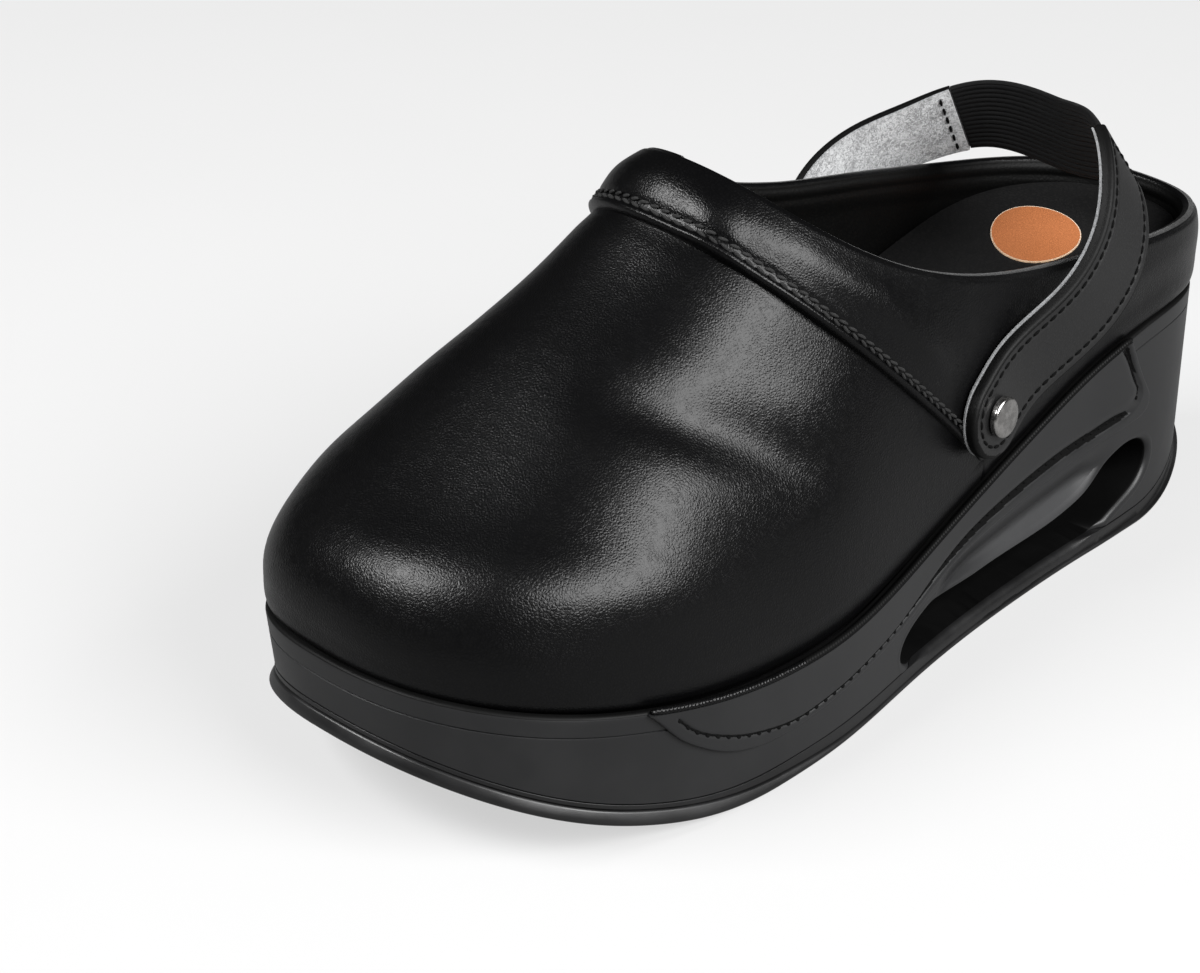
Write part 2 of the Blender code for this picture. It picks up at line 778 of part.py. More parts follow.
def make_straps(rivet_cutters):
    run, path = strap_path()
    leather = (0.014, 0.014, 0.015)
    lateral_end = row_run(run, LATERAL_END_ROW)
    medial_end = row_run(run, MEDIAL_END_ROW)
    tip = tip_spacing()
    reach = np.concatenate([tip, np.linspace(tip[-1] + 5, lateral_end, 11)])
    make_band("strap_lateral", reach, reach, STRAP_THICKNESS,
              make_material("lateral strap leather", leather, 0.4), rivet_cutters[:1])
    reach = np.concatenate([tip, np.linspace(tip[-1] + 5, run[-1] - medial_end, 11)])
    make_band("strap_medial", run[-1] - reach, reach, STRAP_THICKNESS,
              make_material("medial strap leather", leather, 0.4), rivet_cutters[1:])
    places = np.linspace(lateral_end + GAP, medial_end - GAP, 14)
    make_band("strap_elastic", places, np.full(len(places), STRAP_END_RADIUS), ELASTIC_THICKNESS,
              make_material("ribbed elastic", (0.015, 0.015, 0.016), 0.8))


def facing(point, normal):
    turn = Vector(normal).to_track_quat("Z", "Y").to_matrix().to_4x4()
    return Matrix.Translation(Vector(to_world(point))) @ turn


def rivet_frame(side):
    point, normal = wall_place(RIVET_STATION, RIVET_HEIGHT, side)
    return facing(point, normal)


def make_rivet_cutter(name, side):
    mesh = bpy.data.meshes.new(name)
    work = bmesh.new()
    radius = (RIVET_SHANK_RADIUS + GAP) * MM
    bmesh.ops.create_cone(work, cap_ends=True, segments=16, radius1=radius, radius2=radius, depth=30 * MM)
    work.to_mesh(mesh)
    work.free()
    return place_cutter(name, mesh, rivet_frame(side))


def make_rivet(name, side):
    """A turned cap rivet: cap over the strap, shank through both walls, burr inside."""
    seat = COLLAR_STEP + STRAP_STANDOFF + STRAP_THICKNESS + GAP
    inside = -WALL - GAP
    top = seat + RIVET_CAP_HEIGHT
    profile = (
        (0, top),
        (RIVET_CAP_RADIUS - 0.9, top),
        (RIVET_CAP_RADIUS, top - 0.9),
        (RIVET_CAP_RADIUS, seat),
        (RIVET_SHANK_RADIUS, seat),
        (RIVET_SHANK_RADIUS, inside),
        (RIVET_BURR_RADIUS, inside),
        (RIVET_BURR_RADIUS, inside - RIVET_BURR_HEIGHT),
        (0, inside - RIVET_BURR_HEIGHT),
    )
    mesh = bpy.data.meshes.new(name)
    points = [(r * MM, 0, z * MM) for r, z in profile]
    mesh.from_pydata(points, [(i, i + 1) for i in range(len(points) - 1)], [])
    rivet = place_mesh(name, mesh, make_material(name + " steel", (0.32, 0.31, 0.30), 0.25, 1.0))
    rivet.matrix_world = rivet_frame(side)
    turn = rivet.modifiers.new("turn", "SCREW")
    turn.steps = 20
    turn.render_steps = 20
    turn.use_merge_vertices = True
    turn.merge_threshold = 0.00001
    return rivet


def build():
    for thing in list(bpy.data.objects):
        bpy.data.objects.remove(thing)
    for group in (collection, cutters):
        bpy.context.scene.collection.children.link(group)
    sides = (("lateral", 1), ("medial", -1))
    rivet_cutters = [make_rivet_cutter(f"rivet_hole_{name}", side) for name, side in sides]
    make_outsole()
    make_sole()
    make_upper(rivet_cutters)
    make_insole()
    make_straps(rivet_cutters)
    for name, side in sides:
        make_rivet(f"rivet_{name}", side)


build()
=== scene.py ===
import math

import bmesh
import bpy
import numpy as np
from mathutils import Matrix, Vector
from mathutils.bvhtree import BVHTree


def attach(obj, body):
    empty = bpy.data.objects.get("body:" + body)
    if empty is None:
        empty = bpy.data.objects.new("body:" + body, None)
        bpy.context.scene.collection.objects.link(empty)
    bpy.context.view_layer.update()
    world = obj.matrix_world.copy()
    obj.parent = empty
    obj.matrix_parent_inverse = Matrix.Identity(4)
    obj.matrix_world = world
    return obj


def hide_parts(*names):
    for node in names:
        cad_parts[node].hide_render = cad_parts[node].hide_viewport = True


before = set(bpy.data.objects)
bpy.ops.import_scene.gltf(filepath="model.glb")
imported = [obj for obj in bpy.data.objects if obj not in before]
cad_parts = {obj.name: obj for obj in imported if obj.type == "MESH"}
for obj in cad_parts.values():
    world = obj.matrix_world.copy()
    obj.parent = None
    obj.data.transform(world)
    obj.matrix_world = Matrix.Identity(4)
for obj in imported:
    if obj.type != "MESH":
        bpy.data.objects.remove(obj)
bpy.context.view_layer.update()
mm = 0.001  # the sizes below are millimetres, the scene is in metres

# The last: stations run from the back of the heel (0) to the toe tip
shoe = {
    "length": 262.0,
    "toeStart": 200.0,
    "toeSquareness": 2.5,
    "soleMedialSquareness": 2.15,
    "heelEnd": 55.0,
    "heelSquareness": 2.3,
    "heelCornerRun": (42.0, 6.0),
    "heelCornerWidth": 20.0,
    "toeSpring": 20.7,
    "toeSpringStart": 185.0,
    "heelSpring": 15.5,
    "heelSpringEnd": 35.0,
    "outsoleThickness": 4.5,
    "outsoleFlare": 1.5,
    "gap": 0.3,
    "rimWidth": 2.2,
    "wellDepth": 4.0,
    "bulgeHeight": 6.5,
    "tuck": 6.0,
    "tuckPower": 1.4,
    "wall": 2.0,
    "seamFoot": 104.5,
    "seamHeight": 43.0,
    "seamSlope": 0.93,
}
lastColumns = "station centre halfWidth soleTop crown lean fullness inset footbed cup"
lastSections = (
    (0.0, -2.6, 31.5, 53.5, 128.0, 0.0, 2.20, -0.6, 66.0, 1.5),
    (30.0, -2.2, 31.5, 54.3, 132.1, 0.4, 2.20, 0.0, 66.0, 2.5),
    (55.0, -1.0, 31.5, 50.9, 133.9, 0.2, 2.20, 0.6, 63.0, 3.0),
    (80.0, 0.8, 32.3, 44.1, 133.3, -1.0, 2.18, 0.6, 56.5, 3.0),
    (105.0, 2.4, 34.4, 37.1, 131.4, -3.4, 2.12, 0.6, 48.8, 2.2),
    (130.0, 3.6, 38.3, 31.4, 129.1, -6.8, 1.99, 0.9, 42.5, 2.2),
    (150.0, 4.2, 42.6, 28.4, 123.5, -9.0, 1.91, 1.2, 39.0, 2.0),
    (165.0, 4.2, 45.5, 27.1, 114.5, -9.6, 1.91, 1.4, 37.0, 1.5),
    (180.0, 3.6, 47.6, 26.9, 102.5, -9.0, 1.98, 1.6, 36.0, 1.0),
    (200.0, 2.2, 49.4, 28.2, 90.2, -6.6, 2.12, 1.8, 36.5, 1.0),
    (220.0, 0.3, 49.4, 30.6, 79.7, -4.5, 2.22, 1.9, 38.5, 1.0),
    (240.0, -1.8, 49.4, 33.5, 72.9, -3.1, 2.27, 1.9, 41.0, 1.0),
    (262.0, -6.0, 49.4, 36.8, 70.0, -2.0, 2.30, 1.8, 43.5, 1.0),
)
toplineRows = (
    (0.0, 71.5, 71.5),
    (40.0, 76.2, 77.0),
    (80.0, 81.2, 85.4),
    (125.0, 93.1, 95.2),
    (148.0, 106.2, 107.0),
    (175.0, 130.0, 130.0),
)


def spline(xs, ys):
    # natural cubic through the rows of a table
    xs = np.asarray(xs, float)
    ys = np.asarray(ys, float)
    last = len(xs) - 1
    step = np.diff(xs)
    slope = (np.diff(ys, axis=0).T / step).T
    system = np.eye(last + 1)
    change = np.zeros_like(ys)
    for i in range(1, last):
        system[i, i - 1:i + 2] = step[i - 1], 2 * (step[i - 1] + step[i]), step[i]
        change[i] = 6 * (slope[i] - slope[i - 1])
    bend = np.linalg.solve(system, change)

    def value(x):
        shape = np.shape(x)
        x = np.clip(np.ravel(x), xs[0], xs[-1])
        i = np.clip(np.searchsorted(xs, x) - 1, 0, last - 1)
        low = (xs[i + 1] - x) / step[i]
        high = (x - xs[i]) / step[i]
        scale = step[i] ** 2 / 6
        parts = (low, high, (low**3 - low) * scale, (high**3 - high) * scale)
        ends = (ys[i], ys[i + 1], bend[i], bend[i + 1])
        result = sum((part * end.T).T for part, end in zip(parts, ends))
        return result.reshape(shape + ys.shape[1:])
    return value


def tableSplines(names, rows):
    table = np.array(rows, float)
    return {name: spline(table[:, 0], table[:, i]) for i, name in enumerate(names.split()) if i}


section = tableSplines(lastColumns, lastSections)
toplineHeight = tableSplines("station lateral medial", toplineRows)
toeReach = shoe["length"] - shoe["toeStart"] - section["inset"](shoe["length"])
heelReach = shoe["heelEnd"] - section["inset"](0.0)


def smooth(x):
    x = np.clip(x, 0.0, 1.0)
    return x * x * (3 - 2 * x)


def ramp(x, start, end):
    # eases from 0 at the start to 1 at the end, whichever of them is larger
    return smooth((x - start) / (end - start))


def bell(x, width):
    return np.exp(-(x / width) ** 2)


def flip(place):
    # turns a station into y, and y into a station
    return shoe["length"] / 2 - place


def unit(vectors):
    return vectors / np.linalg.norm(vectors, axis=-1, keepdims=True)


def toePart(s):
    return np.clip((s - shoe["toeStart"]) / (shoe["length"] - shoe["toeStart"]), 0, 1)


def heelPart(s):
    return np.clip((shoe["heelEnd"] - s) / shoe["heelEnd"], 0, 1)


def rounding(s, toePower=shoe["toeSquareness"]):
    heelPower = shoe["heelSquareness"]
    toe = (1 - toePart(s) ** toePower) ** (1 / toePower)
    return toe * (1 - heelPart(s) ** heelPower) ** (1 / heelPower)


def outlineOffset(s, side=1):
    power = np.where(side > 0, shoe["toeSquareness"], shoe["soleMedialSquareness"])
    return side * section["halfWidth"](s) * rounding(s, power)


def heelCorner(s, side):
    return ramp(s, *shoe["heelCornerRun"]) * smooth(np.abs(outlineOffset(s, side)) / shoe["heelCornerWidth"])


def soleBottom(s):
    toeRun = (s - shoe["toeSpringStart"]) / (shoe["length"] - shoe["toeSpringStart"])
    heelRun = (shoe["heelSpringEnd"] - s) / shoe["heelSpringEnd"]
    return shoe["toeSpring"] * np.clip(toeRun, 0, 1) ** 2 + shoe["heelSpring"] * np.clip(heelRun, 0, 1) ** 2


def widestHeight(s):
    return section["soleTop"](s) + shoe["bulgeHeight"]


def clearWidth(s):
    return section["halfWidth"](s) - section["inset"](s)


def overWell(ring):
    return section["soleTop"](flip(ring[..., 1])) - shoe["wellDepth"] + 1.5 * shoe["gap"]


def planShare(across, s):
    # 0 on the spine, 1 on the upper's widest outline
    toePower, heelPower = shoe["toeSquareness"], shoe["heelSquareness"]
    share = np.abs(across) / clearWidth(s)
    toe = np.clip((s - shoe["toeStart"]) / toeReach, 0, None)
    heel = np.clip((shoe["heelEnd"] - s) / heelReach, 0, None)
    toeShare = (share**toePower + toe**toePower) ** (1 / toePower)
    heelShare = (share**heelPower + heel**heelPower) ** (1 / heelPower)
    return np.where(s > shoe["toeStart"], toeShare, np.where(s < shoe["heelEnd"], heelShare, share))


def lastPoint(across, s):
    across = np.asarray(across, float)
    s = np.asarray(s, float)
    power = section["fullness"](s)
    rise = (1 - np.clip(planShare(across, s), 0, 1) ** power) ** (1 / power)
    low = widestHeight(s)
    x = section["centre"](s) + across + section["lean"](s) * rise
    return np.stack([x, flip(s), low + (section["crown"](s) - low) * rise], -1)


def lastField(points):
    # grows outwards, 1 on the last
    x, y, z = points.T
    s = flip(y)
    low = widestHeight(s)
    rise = np.clip((z - low) / (section["crown"](s) - low), 0, None)
    across = x - section["centre"](s) - section["lean"](s) * rise
    power = section["fullness"](s)
    return rise**power + planShare(across, s) ** power


def lastNormal(points, reach=0.05):
    flat = points.reshape(-1, 3)
    slope = [lastField(flat + step) - lastField(flat - step) for step in reach * np.eye(3)]
    return unit(np.stack(slope, -1)).reshape(points.shape)


def shareAtHeight(s, z):
    power = section["fullness"](s)
    low = widestHeight(s)
    rise = np.clip((z - low) / (section["crown"](s) - low), 0, 1)
    return (1 - rise**power) ** (1 / power)


def upperPlan(s, side, share):
    place = np.where(s > shoe["toeStart"], shoe["toeStart"] + toePart(s) * share * toeReach, s)
    place = np.where(s < shoe["heelEnd"], shoe["heelEnd"] - heelPart(s) * share * heelReach, place)
    across = side * share * rounding(s) * clearWidth(place)
    return np.stack([across, place + 0 * across], -1)


def runOf(points):
    steps = np.linalg.norm(np.diff(points, axis=0), axis=1)
    return np.concatenate([[0], np.cumsum(steps)])


def atRuns(run, values, wanted):
    return np.stack([np.interp(wanted, run, column) for column in values.T], -1)


def evenStations(first, last, count, samples=2000):
    s = first + (last - first) * (1 - np.cos(np.linspace(0, math.pi, samples))) / 2
    line = np.stack([s, outlineOffset(s)], -1)
    run = runOf(line)
    return atRuns(run, line, np.linspace(0, run[-1], count + 1))[:, 0]


def loopOf(stations):
    s = np.concatenate([stations, stations[-2:0:-1]])
    side = np.concatenate([np.ones(len(stations)), -np.ones(len(stations) - 2)])
    return s, side


def outward(ring):
    along = np.roll(ring, -1, 0) - np.roll(ring, 1, 0)
    return unit(np.stack([-along[:, 1], along[:, 0]], -1))


def planLoop(s, side):
    ring = np.stack([section["centre"](s) + outlineOffset(s, side), flip(s)], -1)
    return ring, outward(ring)


def findCentre(columns=120):
    ring, normal = planLoop(*loopOf(evenStations(0, shoe["length"], columns)))
    lip = ring + normal * shoe["outsoleFlare"]
    return (lip[:, 0].max() + lip[:, 0].min()) / 2


centreX = findCentre()  # the frame's origin is under the middle of the outsole


def toWorld(points):
    return (np.asarray(points, float) - (centreX, 0, 0)) * mm


# Mesh making

def numbered(points):
    # vertex numbers of a grid of points
    return np.arange(points.shape[0] * points.shape[1]).reshape(points.shape[:2])


def gridFaces(index, closedRows=False, closedColumns=False):
    rows = np.concatenate([index, index[:1]]) if closedRows else index
    if closedColumns:
        rows = np.concatenate([rows, rows[:, :1]], axis=1)
    corners = rows[:-1, :-1], rows[:-1, 1:], rows[1:, 1:], rows[1:, :-1]
    return np.stack(corners, -1).reshape(-1, 4).tolist()


def ladderFaces(ring):
    # rungs across a ring that starts and turns back on the spine
    count = len(ring)
    i = np.arange(count // 2)
    back = ring[(count - i - 1) % count], ring[(count - i) % count]
    return np.stack([ring[i], ring[i + 1], *back], -1).tolist()


def capFaces(line):
    # closes the end of a strip whose two faces are the halves of the line
    return [[line[i], line[i + 1], line[-i - 2], line[-i - 1]] for i in range(len(line) // 2 - 1)]


def cellSum(values):
    return values[:-1, :-1] + values[1:, :-1] + values[:-1, 1:] + values[1:, 1:]


def stackRings(ring, turn, rows):
    # a plan outline moved out by each row's lift, at each row's height
    return np.array([np.column_stack([ring + turn * lift[:, None], z]) for lift, z in rows])


def addObject(name, data):
    made = bpy.data.objects.new(name, data)
    bpy.context.scene.collection.objects.link(made)
    return made


def makePiece(name, points, faces, finishes, faceMaterial=None, weld=0.00001, sharpAngle=50):
    mesh = bpy.data.meshes.new(name)
    mesh.from_pydata(toWorld(points).reshape(-1, 3).tolist(), [], [list(dict.fromkeys(f)) for f in faces])
    for key in finishes:
        mesh.materials.append(finish[key])
    if faceMaterial is not None:
        mesh.polygons.foreach_set("material_index", np.asarray(faceMaterial, np.int32))
    tidyMesh(mesh, weld)
    mesh.shade_smooth()
    mesh.set_sharp_from_angle(angle=math.radians(sharpAngle))
    return addObject(name, mesh)


def tidyMesh(mesh, weld):
    work = bmesh.new()
    work.from_mesh(mesh)
    bmesh.ops.remove_doubles(work, verts=work.verts, dist=weld)
    bmesh.ops.dissolve_degenerate(work, edges=work.edges, dist=weld / 10)
    bmesh.ops.recalc_face_normals(work, faces=work.faces)
    work.to_mesh(mesh)
    work.free()


def settle(piece, slot, *nodes):
    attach(piece, "root")
    if nodes:
        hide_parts(*nodes)
    print("made", piece.name, len(piece.data.polygons), "faces")
    return piece


def plainMesh(piece):
    # the evaluated result as a mesh with nothing live on it
    bpy.context.view_layer.update()
    graph = bpy.context.evaluated_depsgraph_get()
    mesh = bpy.data.meshes.new_from_object(piece.evaluated_get(graph))
    mesh.transform(piece.matrix_world)
    name = piece.name
    bpy.data.objects.remove(piece)
    return addObject(name, mesh)


# Shader groups shared by the finishes

def addNode(tree, kind, values=(), **settings):
    # a value that is another node's output is linked
    node = tree.nodes.new(kind)
    for key, value in settings.items():
        setattr(node, key, value)
    for key, value in dict(values).items():
        if isinstance(value, bpy.types.NodeSocket):
            tree.links.new(value, node.inputs[key])
        else:
            node.inputs[key].default_value = value
    return node


def newGroup(name, sizes, results):
    tree = bpy.data.node_groups.new(name, "ShaderNodeTree")
    tree.interface.new_socket("Vector", in_out="INPUT", socket_type="NodeSocketVector")
    for key, value in sizes.items():
        tree.interface.new_socket(key, in_out="INPUT", socket_type="NodeSocketFloat").default_value = value
    for key in results:
        tree.interface.new_socket(key, in_out="OUTPUT", socket_type="NodeSocketFloat")
    return tree, tree.nodes.new("NodeGroupInput").outputs


def addNoise(tree, where, scale, detail, **values):
    values.update(Vector=where, Scale=scale, Detail=detail)
    return addNode(tree, "ShaderNodeTexNoise", values).outputs


def mapRange(tree, source, low, high, toLow=0.0, toHigh=1.0):
    values = {"Value": source, "From Min": low, "From Max": high, "To Min": toLow, "To Max": toHigh}
    return addNode(tree, "ShaderNodeMapRange", values, interpolation_type="SMOOTHSTEP").outputs["Result"]


def joinValues(tree, operation, first, second):
    return addNode(tree, "ShaderNodeMath", {0: first, 1: second}, operation=operation).outputs[0]


def addShare(tree, first, second, share):
    return joinValues(tree, "ADD", first, joinValues(tree, "MULTIPLY", second, share))


def makeGrainGroup():
    # pebbled leather: soft cells with fine creases between them
    tree, given = newGroup("leatherGrain", {"Cells": 1000.0, "Wander": 0.0006}, ("Height", "Tone"))
    where = given["Vector"]
    drift = addNoise(tree, where, 260.0, 2.0)["Color"]
    shift = addNode(tree, "ShaderNodeVectorMath", {0: drift, "Scale": given["Wander"]}, operation="SCALE")
    place = addNode(tree, "ShaderNodeVectorMath", {0: where, 1: shift.outputs[0]}, operation="ADD")
    cells = addNode(tree, "ShaderNodeTexVoronoi", {"Vector": place.outputs[0], "Scale": given["Cells"]},
                    feature="DISTANCE_TO_EDGE")
    pebble = mapRange(tree, cells.outputs["Distance"], 0.0, 0.32)
    fine = addNoise(tree, where, 2600.0, 3.0)["Fac"]
    broad = addNoise(tree, where, 420.0, 3.0)["Fac"]
    height = joinValues(tree, "MULTIPLY", pebble, mapRange(tree, broad, 0.35, 0.65, 0.35))
    height = addShare(tree, addShare(tree, height, fine, 0.35), broad, 0.3)
    addNode(tree, "NodeGroupOutput", {"Height": height, "Tone": pebble})
    return tree


def makeHandlingGroup():
    # slow changes of gloss where hands and feet have rubbed
    sizes = {"Patches": 22.0, "Matt": 0.5, "Gloss": 0.3}
    tree, given = newGroup("handledGloss", sizes, ("Roughness", "Mask"))
    patches = addNoise(tree, given["Vector"], given["Patches"], 5.0, Roughness=0.6)["Fac"]
    mask = mapRange(tree, patches, 0.35, 0.68)
    ends = {"To Min": given["Gloss"], "To Max": given["Matt"]}
    mix = addNode(tree, "ShaderNodeMapRange", {"Value": mask, **ends})
    addNode(tree, "NodeGroupOutput", {"Roughness": mix.outputs["Result"], "Mask": mask})
    return tree


def makeNapGroup():
    # short fibres of suede and cloth, in tufts
    tree, given = newGroup("fibreNap", {"Fibres": 1500.0}, ("Height", "Tone"))
    fibres = addNoise(tree, given["Vector"], given["Fibres"], 4.0, Roughness=0.7, Distortion=1.2)["Fac"]
    tufts = addNoise(tree, given["Vector"], 240.0, 3.0)["Fac"]
    tone = mapRange(tree, addShare(tree, fibres, tufts, 0.25), 0.5, 0.75)
    addNode(tree, "NodeGroupOutput", {"Height": addShare(tree, fibres, tufts, 0.8), "Tone": tone})
    return tree


grainGroup = makeGrainGroup()
handlingGroup = makeHandlingGroup()
napGroup = makeNapGroup()
lipLightGain = 2.2  # how much paler the painted light makes the lip


def newMaterial(name, **sockets):
    material = bpy.data.materials.new(name)
    material.use_nodes = True
    tree = material.node_tree
    shader = tree.nodes["Principled BSDF"]
    for key, value in sockets.items():
        shader.inputs[key.replace("_", " ")].default_value = value
    where = tree.nodes.new("ShaderNodeTexCoord").outputs["Object"]
    return material, tree, shader.inputs, where


def useGroup(tree, group, where, **values):
    return addNode(tree, "ShaderNodeGroup", {"Vector": where, **values}, node_tree=group).outputs


def addBump(tree, shader, height, strength, depth):
    bump = addNode(tree, "ShaderNodeBump", {"Height": height, "Strength": strength, "Distance": depth})
    tree.links.new(bump.outputs["Normal"], shader["Normal"])


def mixColour(tree, target, factor, *colours):
    values = {key: c if isinstance(c, bpy.types.NodeSocket) else (*c, 1) for key, c in zip("AB", colours)}
    mix = addNode(tree, "ShaderNodeMix", {"Factor": factor, **values}, data_type="RGBA")
    tree.links.new(mix.outputs["Result"], target)
    return mix.outputs["Result"]


def makeLeather(name, dark, light, matt, gloss, cells, strength, shine):
    material, tree, shader, where = newMaterial(name, Specular_IOR_Level=shine)
    grain = useGroup(tree, grainGroup, where, Cells=cells)
    wearAndPaintedLight = useGroup(tree, handlingGroup, where, Matt=matt, Gloss=gloss)
    mixColour(tree, shader["Base Color"], grain["Tone"], dark, light)
    tree.links.new(wearAndPaintedLight["Roughness"], shader["Roughness"])
    addBump(tree, shader, grain["Height"], strength, 0.0004)
    return material


def makeSuede(name, dark, light, sheen=0.35):
    material, tree, shader, where = newMaterial(
        name, Roughness=0.95, Sheen_Weight=sheen, Sheen_Roughness=0.5, Specular_IOR_Level=0.2)
    nap = useGroup(tree, napGroup, where)
    mixColour(tree, shader["Base Color"], nap["Tone"], dark, light)
    addBump(tree, shader, nap["Height"], 0.6, 0.0006)
    return material


def makeMoulded(name, dark, light, matt, gloss, strength, shine):
    material, tree, shader, where = newMaterial(name, Specular_IOR_Level=shine)
    wearAndPaintedLight = useGroup(tree, handlingGroup, where, Matt=matt, Gloss=gloss, Patches=34.0)
    nap = useGroup(tree, napGroup, where, Fibres=2400.0)
    tone = mixColour(tree, shader["Base Color"], wearAndPaintedLight["Mask"], dark, light)
    tree.links.new(wearAndPaintedLight["Roughness"], shader["Roughness"])
    addBump(tree, shader, nap["Height"], strength, 0.0002)
    # painted light: a paler tone on the lip over the slot, where the mesh attribute marks it
    mark = addNode(tree, "ShaderNodeAttribute", attribute_name="wearAndPaintedLight").outputs["Fac"]
    mixColour(tree, shader["Base Color"], mark, tone, lipLightGain * np.array(light))
    return material


def makeWoven(name, dark, light, sheen, shine):
    material, tree, shader, where = newMaterial(
        name, Sheen_Weight=sheen, Roughness=0.82, Specular_IOR_Level=shine)
    nap = useGroup(tree, napGroup, where, Fibres=2100.0)
    mixColour(tree, shader["Base Color"], nap["Tone"], dark, light)
    addBump(tree, shader, nap["Height"], 0.5, 0.0003)
    return material


def makeSteel(name, dark, light):
    material, tree, shader, where = newMaterial(name, Metallic=1.0)
    wearAndPaintedLight = useGroup(tree, handlingGroup, where, Matt=0.34, Gloss=0.2, Patches=420.0)
    mixColour(tree, shader["Base Color"], wearAndPaintedLight["Mask"], dark, light)
    tree.links.new(wearAndPaintedLight["Roughness"], shader["Roughness"])
    return material


finish = {
    # leather: dark and light colour, matt and rubbed roughness, cells in a metre, grain depth, shine
    "upper": makeLeather("blackLeather", (0.0008, 0.0008, 0.0009), (0.0014, 0.0014, 0.0015),
                         0.32, 0.28, 1450.0, 0.155, 0.135),
    "lining": makeLeather("liningLeather", (0.0006, 0.0006, 0.0006), (0.0012, 0.0012, 0.0011),
                          0.6, 0.5, 900.0, 0.12, 0.08),
    "strap": makeLeather("strapLeather", (0.0034, 0.0034, 0.0035), (0.0052, 0.0052, 0.0053),
                         0.5, 0.4, 1300.0, 0.08, 0.31),
    "strapEdge": makeLeather("strapEdge", (0.0008, 0.0008, 0.0008), (0.0014, 0.0014, 0.0014),
                             0.6, 0.5, 1300.0, 0.08, 0.1),
    "footbed": makeLeather("footbedLeather", (0.0026, 0.0026, 0.0027), (0.0042, 0.0041, 0.0041),
                           0.62, 0.5, 800.0, 0.15, 0.12),
    "patch": makeLeather("orangeLeather", (0.19, 0.062, 0.02), (0.23, 0.077, 0.026),
                         0.6, 0.5, 1400.0, 0.08, 0.3),
    # suede: dark and light colour, sheen
    "cutEdge": makeSuede("cutLeatherEdge", (0.008, 0.008, 0.008), (0.02, 0.02, 0.02), 0.05),
    "patchEdge": makeSuede("paleEdge", (0.24, 0.155, 0.09), (0.32, 0.22, 0.14)),
    # darker suede painted as shade on the lining's edge that faces up into the light
    "suedeEdgeShade": makeSuede("shadedSuedeEdge", (0.066, 0.067, 0.069), (0.145, 0.148, 0.152)),
    "suede": makeSuede("greySuede", (0.12, 0.122, 0.124), (0.375, 0.379, 0.383)),
    # moulded: dark and light colour, matt and rubbed roughness, texture depth, shine
    "platform": makeMoulded("satinPlatform", (0.0069, 0.007, 0.0073), (0.009, 0.0091, 0.0094),
                            0.46, 0.38, 0.07, 0.23),
    "outsole": makeMoulded("outsoleRubber", (0.003, 0.003, 0.0031), (0.0045, 0.0045, 0.0047),
                           0.46, 0.32, 0.09, 0.3),
    "slotShade": makeMoulded("slotShade", (0.001, 0.001, 0.001), (0.0015, 0.0015, 0.0015),
                             0.6, 0.5, 0.07, 0.08),
    # woven: dark and light colour, sheen, shine
    "elastic": makeWoven("ribbedElastic", (0.0005, 0.0005, 0.0006), (0.0015, 0.0015, 0.0016), 0.01, 0.12),
    "thread": makeWoven("blackThread", (0.003, 0.003, 0.003), (0.008, 0.008, 0.008), 0.02, 0.25),
    "seamShade": makeWoven("seamShade", (0.0008, 0.0008, 0.0008), (0.0016, 0.0016, 0.0016), 0.0, 0.06),
    "rivet": makeSteel("gunmetal", (0.24, 0.234, 0.228), (0.36, 0.352, 0.344)),
}
print("finishes ready")


# Stitches along a path, by Geometry Nodes

def makeStitchTree():
    tree = bpy.data.node_groups.new("stitchRow", "GeometryNodeTree")
    sockets = {"Geometry": "Geometry", "Pitch": "Float", "Length": "Float", "Thickness": "Float",
               "Slant": "Float", "Thread": "Material"}
    for name, kind in sockets.items():
        tree.interface.new_socket(name, in_out="INPUT", socket_type="NodeSocket" + kind)
    tree.interface.new_socket("Geometry", in_out="OUTPUT", socket_type="NodeSocketGeometry")
    given = tree.nodes.new("NodeGroupInput").outputs
    spaced = addNode(tree, "GeometryNodeCurveToPoints", {
        "Curve": given["Geometry"], "Length": given["Pitch"]}, mode="LENGTH").outputs
    along = addNode(tree, "FunctionNodeAlignRotationToVector", {"Vector": spaced["Tangent"]}, axis="X")
    slant = addNode(tree, "FunctionNodeAxisAngleToRotation", {"Angle": given["Slant"]})
    turn = addNode(tree, "FunctionNodeRotateRotation", {
        "Rotation": along.outputs["Rotation"],
        "Rotate By": slant.outputs["Rotation"]}, rotation_space="LOCAL")
    bead = addNode(tree, "GeometryNodeMeshUVSphere", {"Segments": 8, "Rings": 6, "Radius": 0.5})
    thick = given["Thickness"]
    size = addNode(tree, "ShaderNodeCombineXYZ", {"X": given["Length"], "Y": thick, "Z": thick})
    place = addNode(tree, "GeometryNodeInstanceOnPoints", {
        "Points": spaced["Points"], "Instance": bead.outputs["Mesh"],
        "Rotation": turn.outputs["Rotation"], "Scale": size.outputs["Vector"]})
    real = addNode(tree, "GeometryNodeRealizeInstances", {"Geometry": place.outputs["Instances"]})
    soft = addNode(tree, "GeometryNodeSetShadeSmooth", {"Geometry": real.outputs["Geometry"]})
    paint = addNode(tree, "GeometryNodeSetMaterial", {
        "Geometry": soft.outputs["Geometry"], "Material": given["Thread"]})
    addNode(tree, "NodeGroupOutput", {"Geometry": paint.outputs["Geometry"]})
    return tree


stitchTree = makeStitchTree()


def pathCurve(name, lines):
    curve = bpy.data.curves.new(name, "CURVE")
    curve.dimensions = "3D"
    for line in lines:
        points = toWorld(line)
        path = curve.splines.new("POLY")
        path.points.add(len(points) - 1)
        path.points.foreach_set("co", np.column_stack([points, np.ones(len(points))]).ravel())
    return addObject(name, curve)


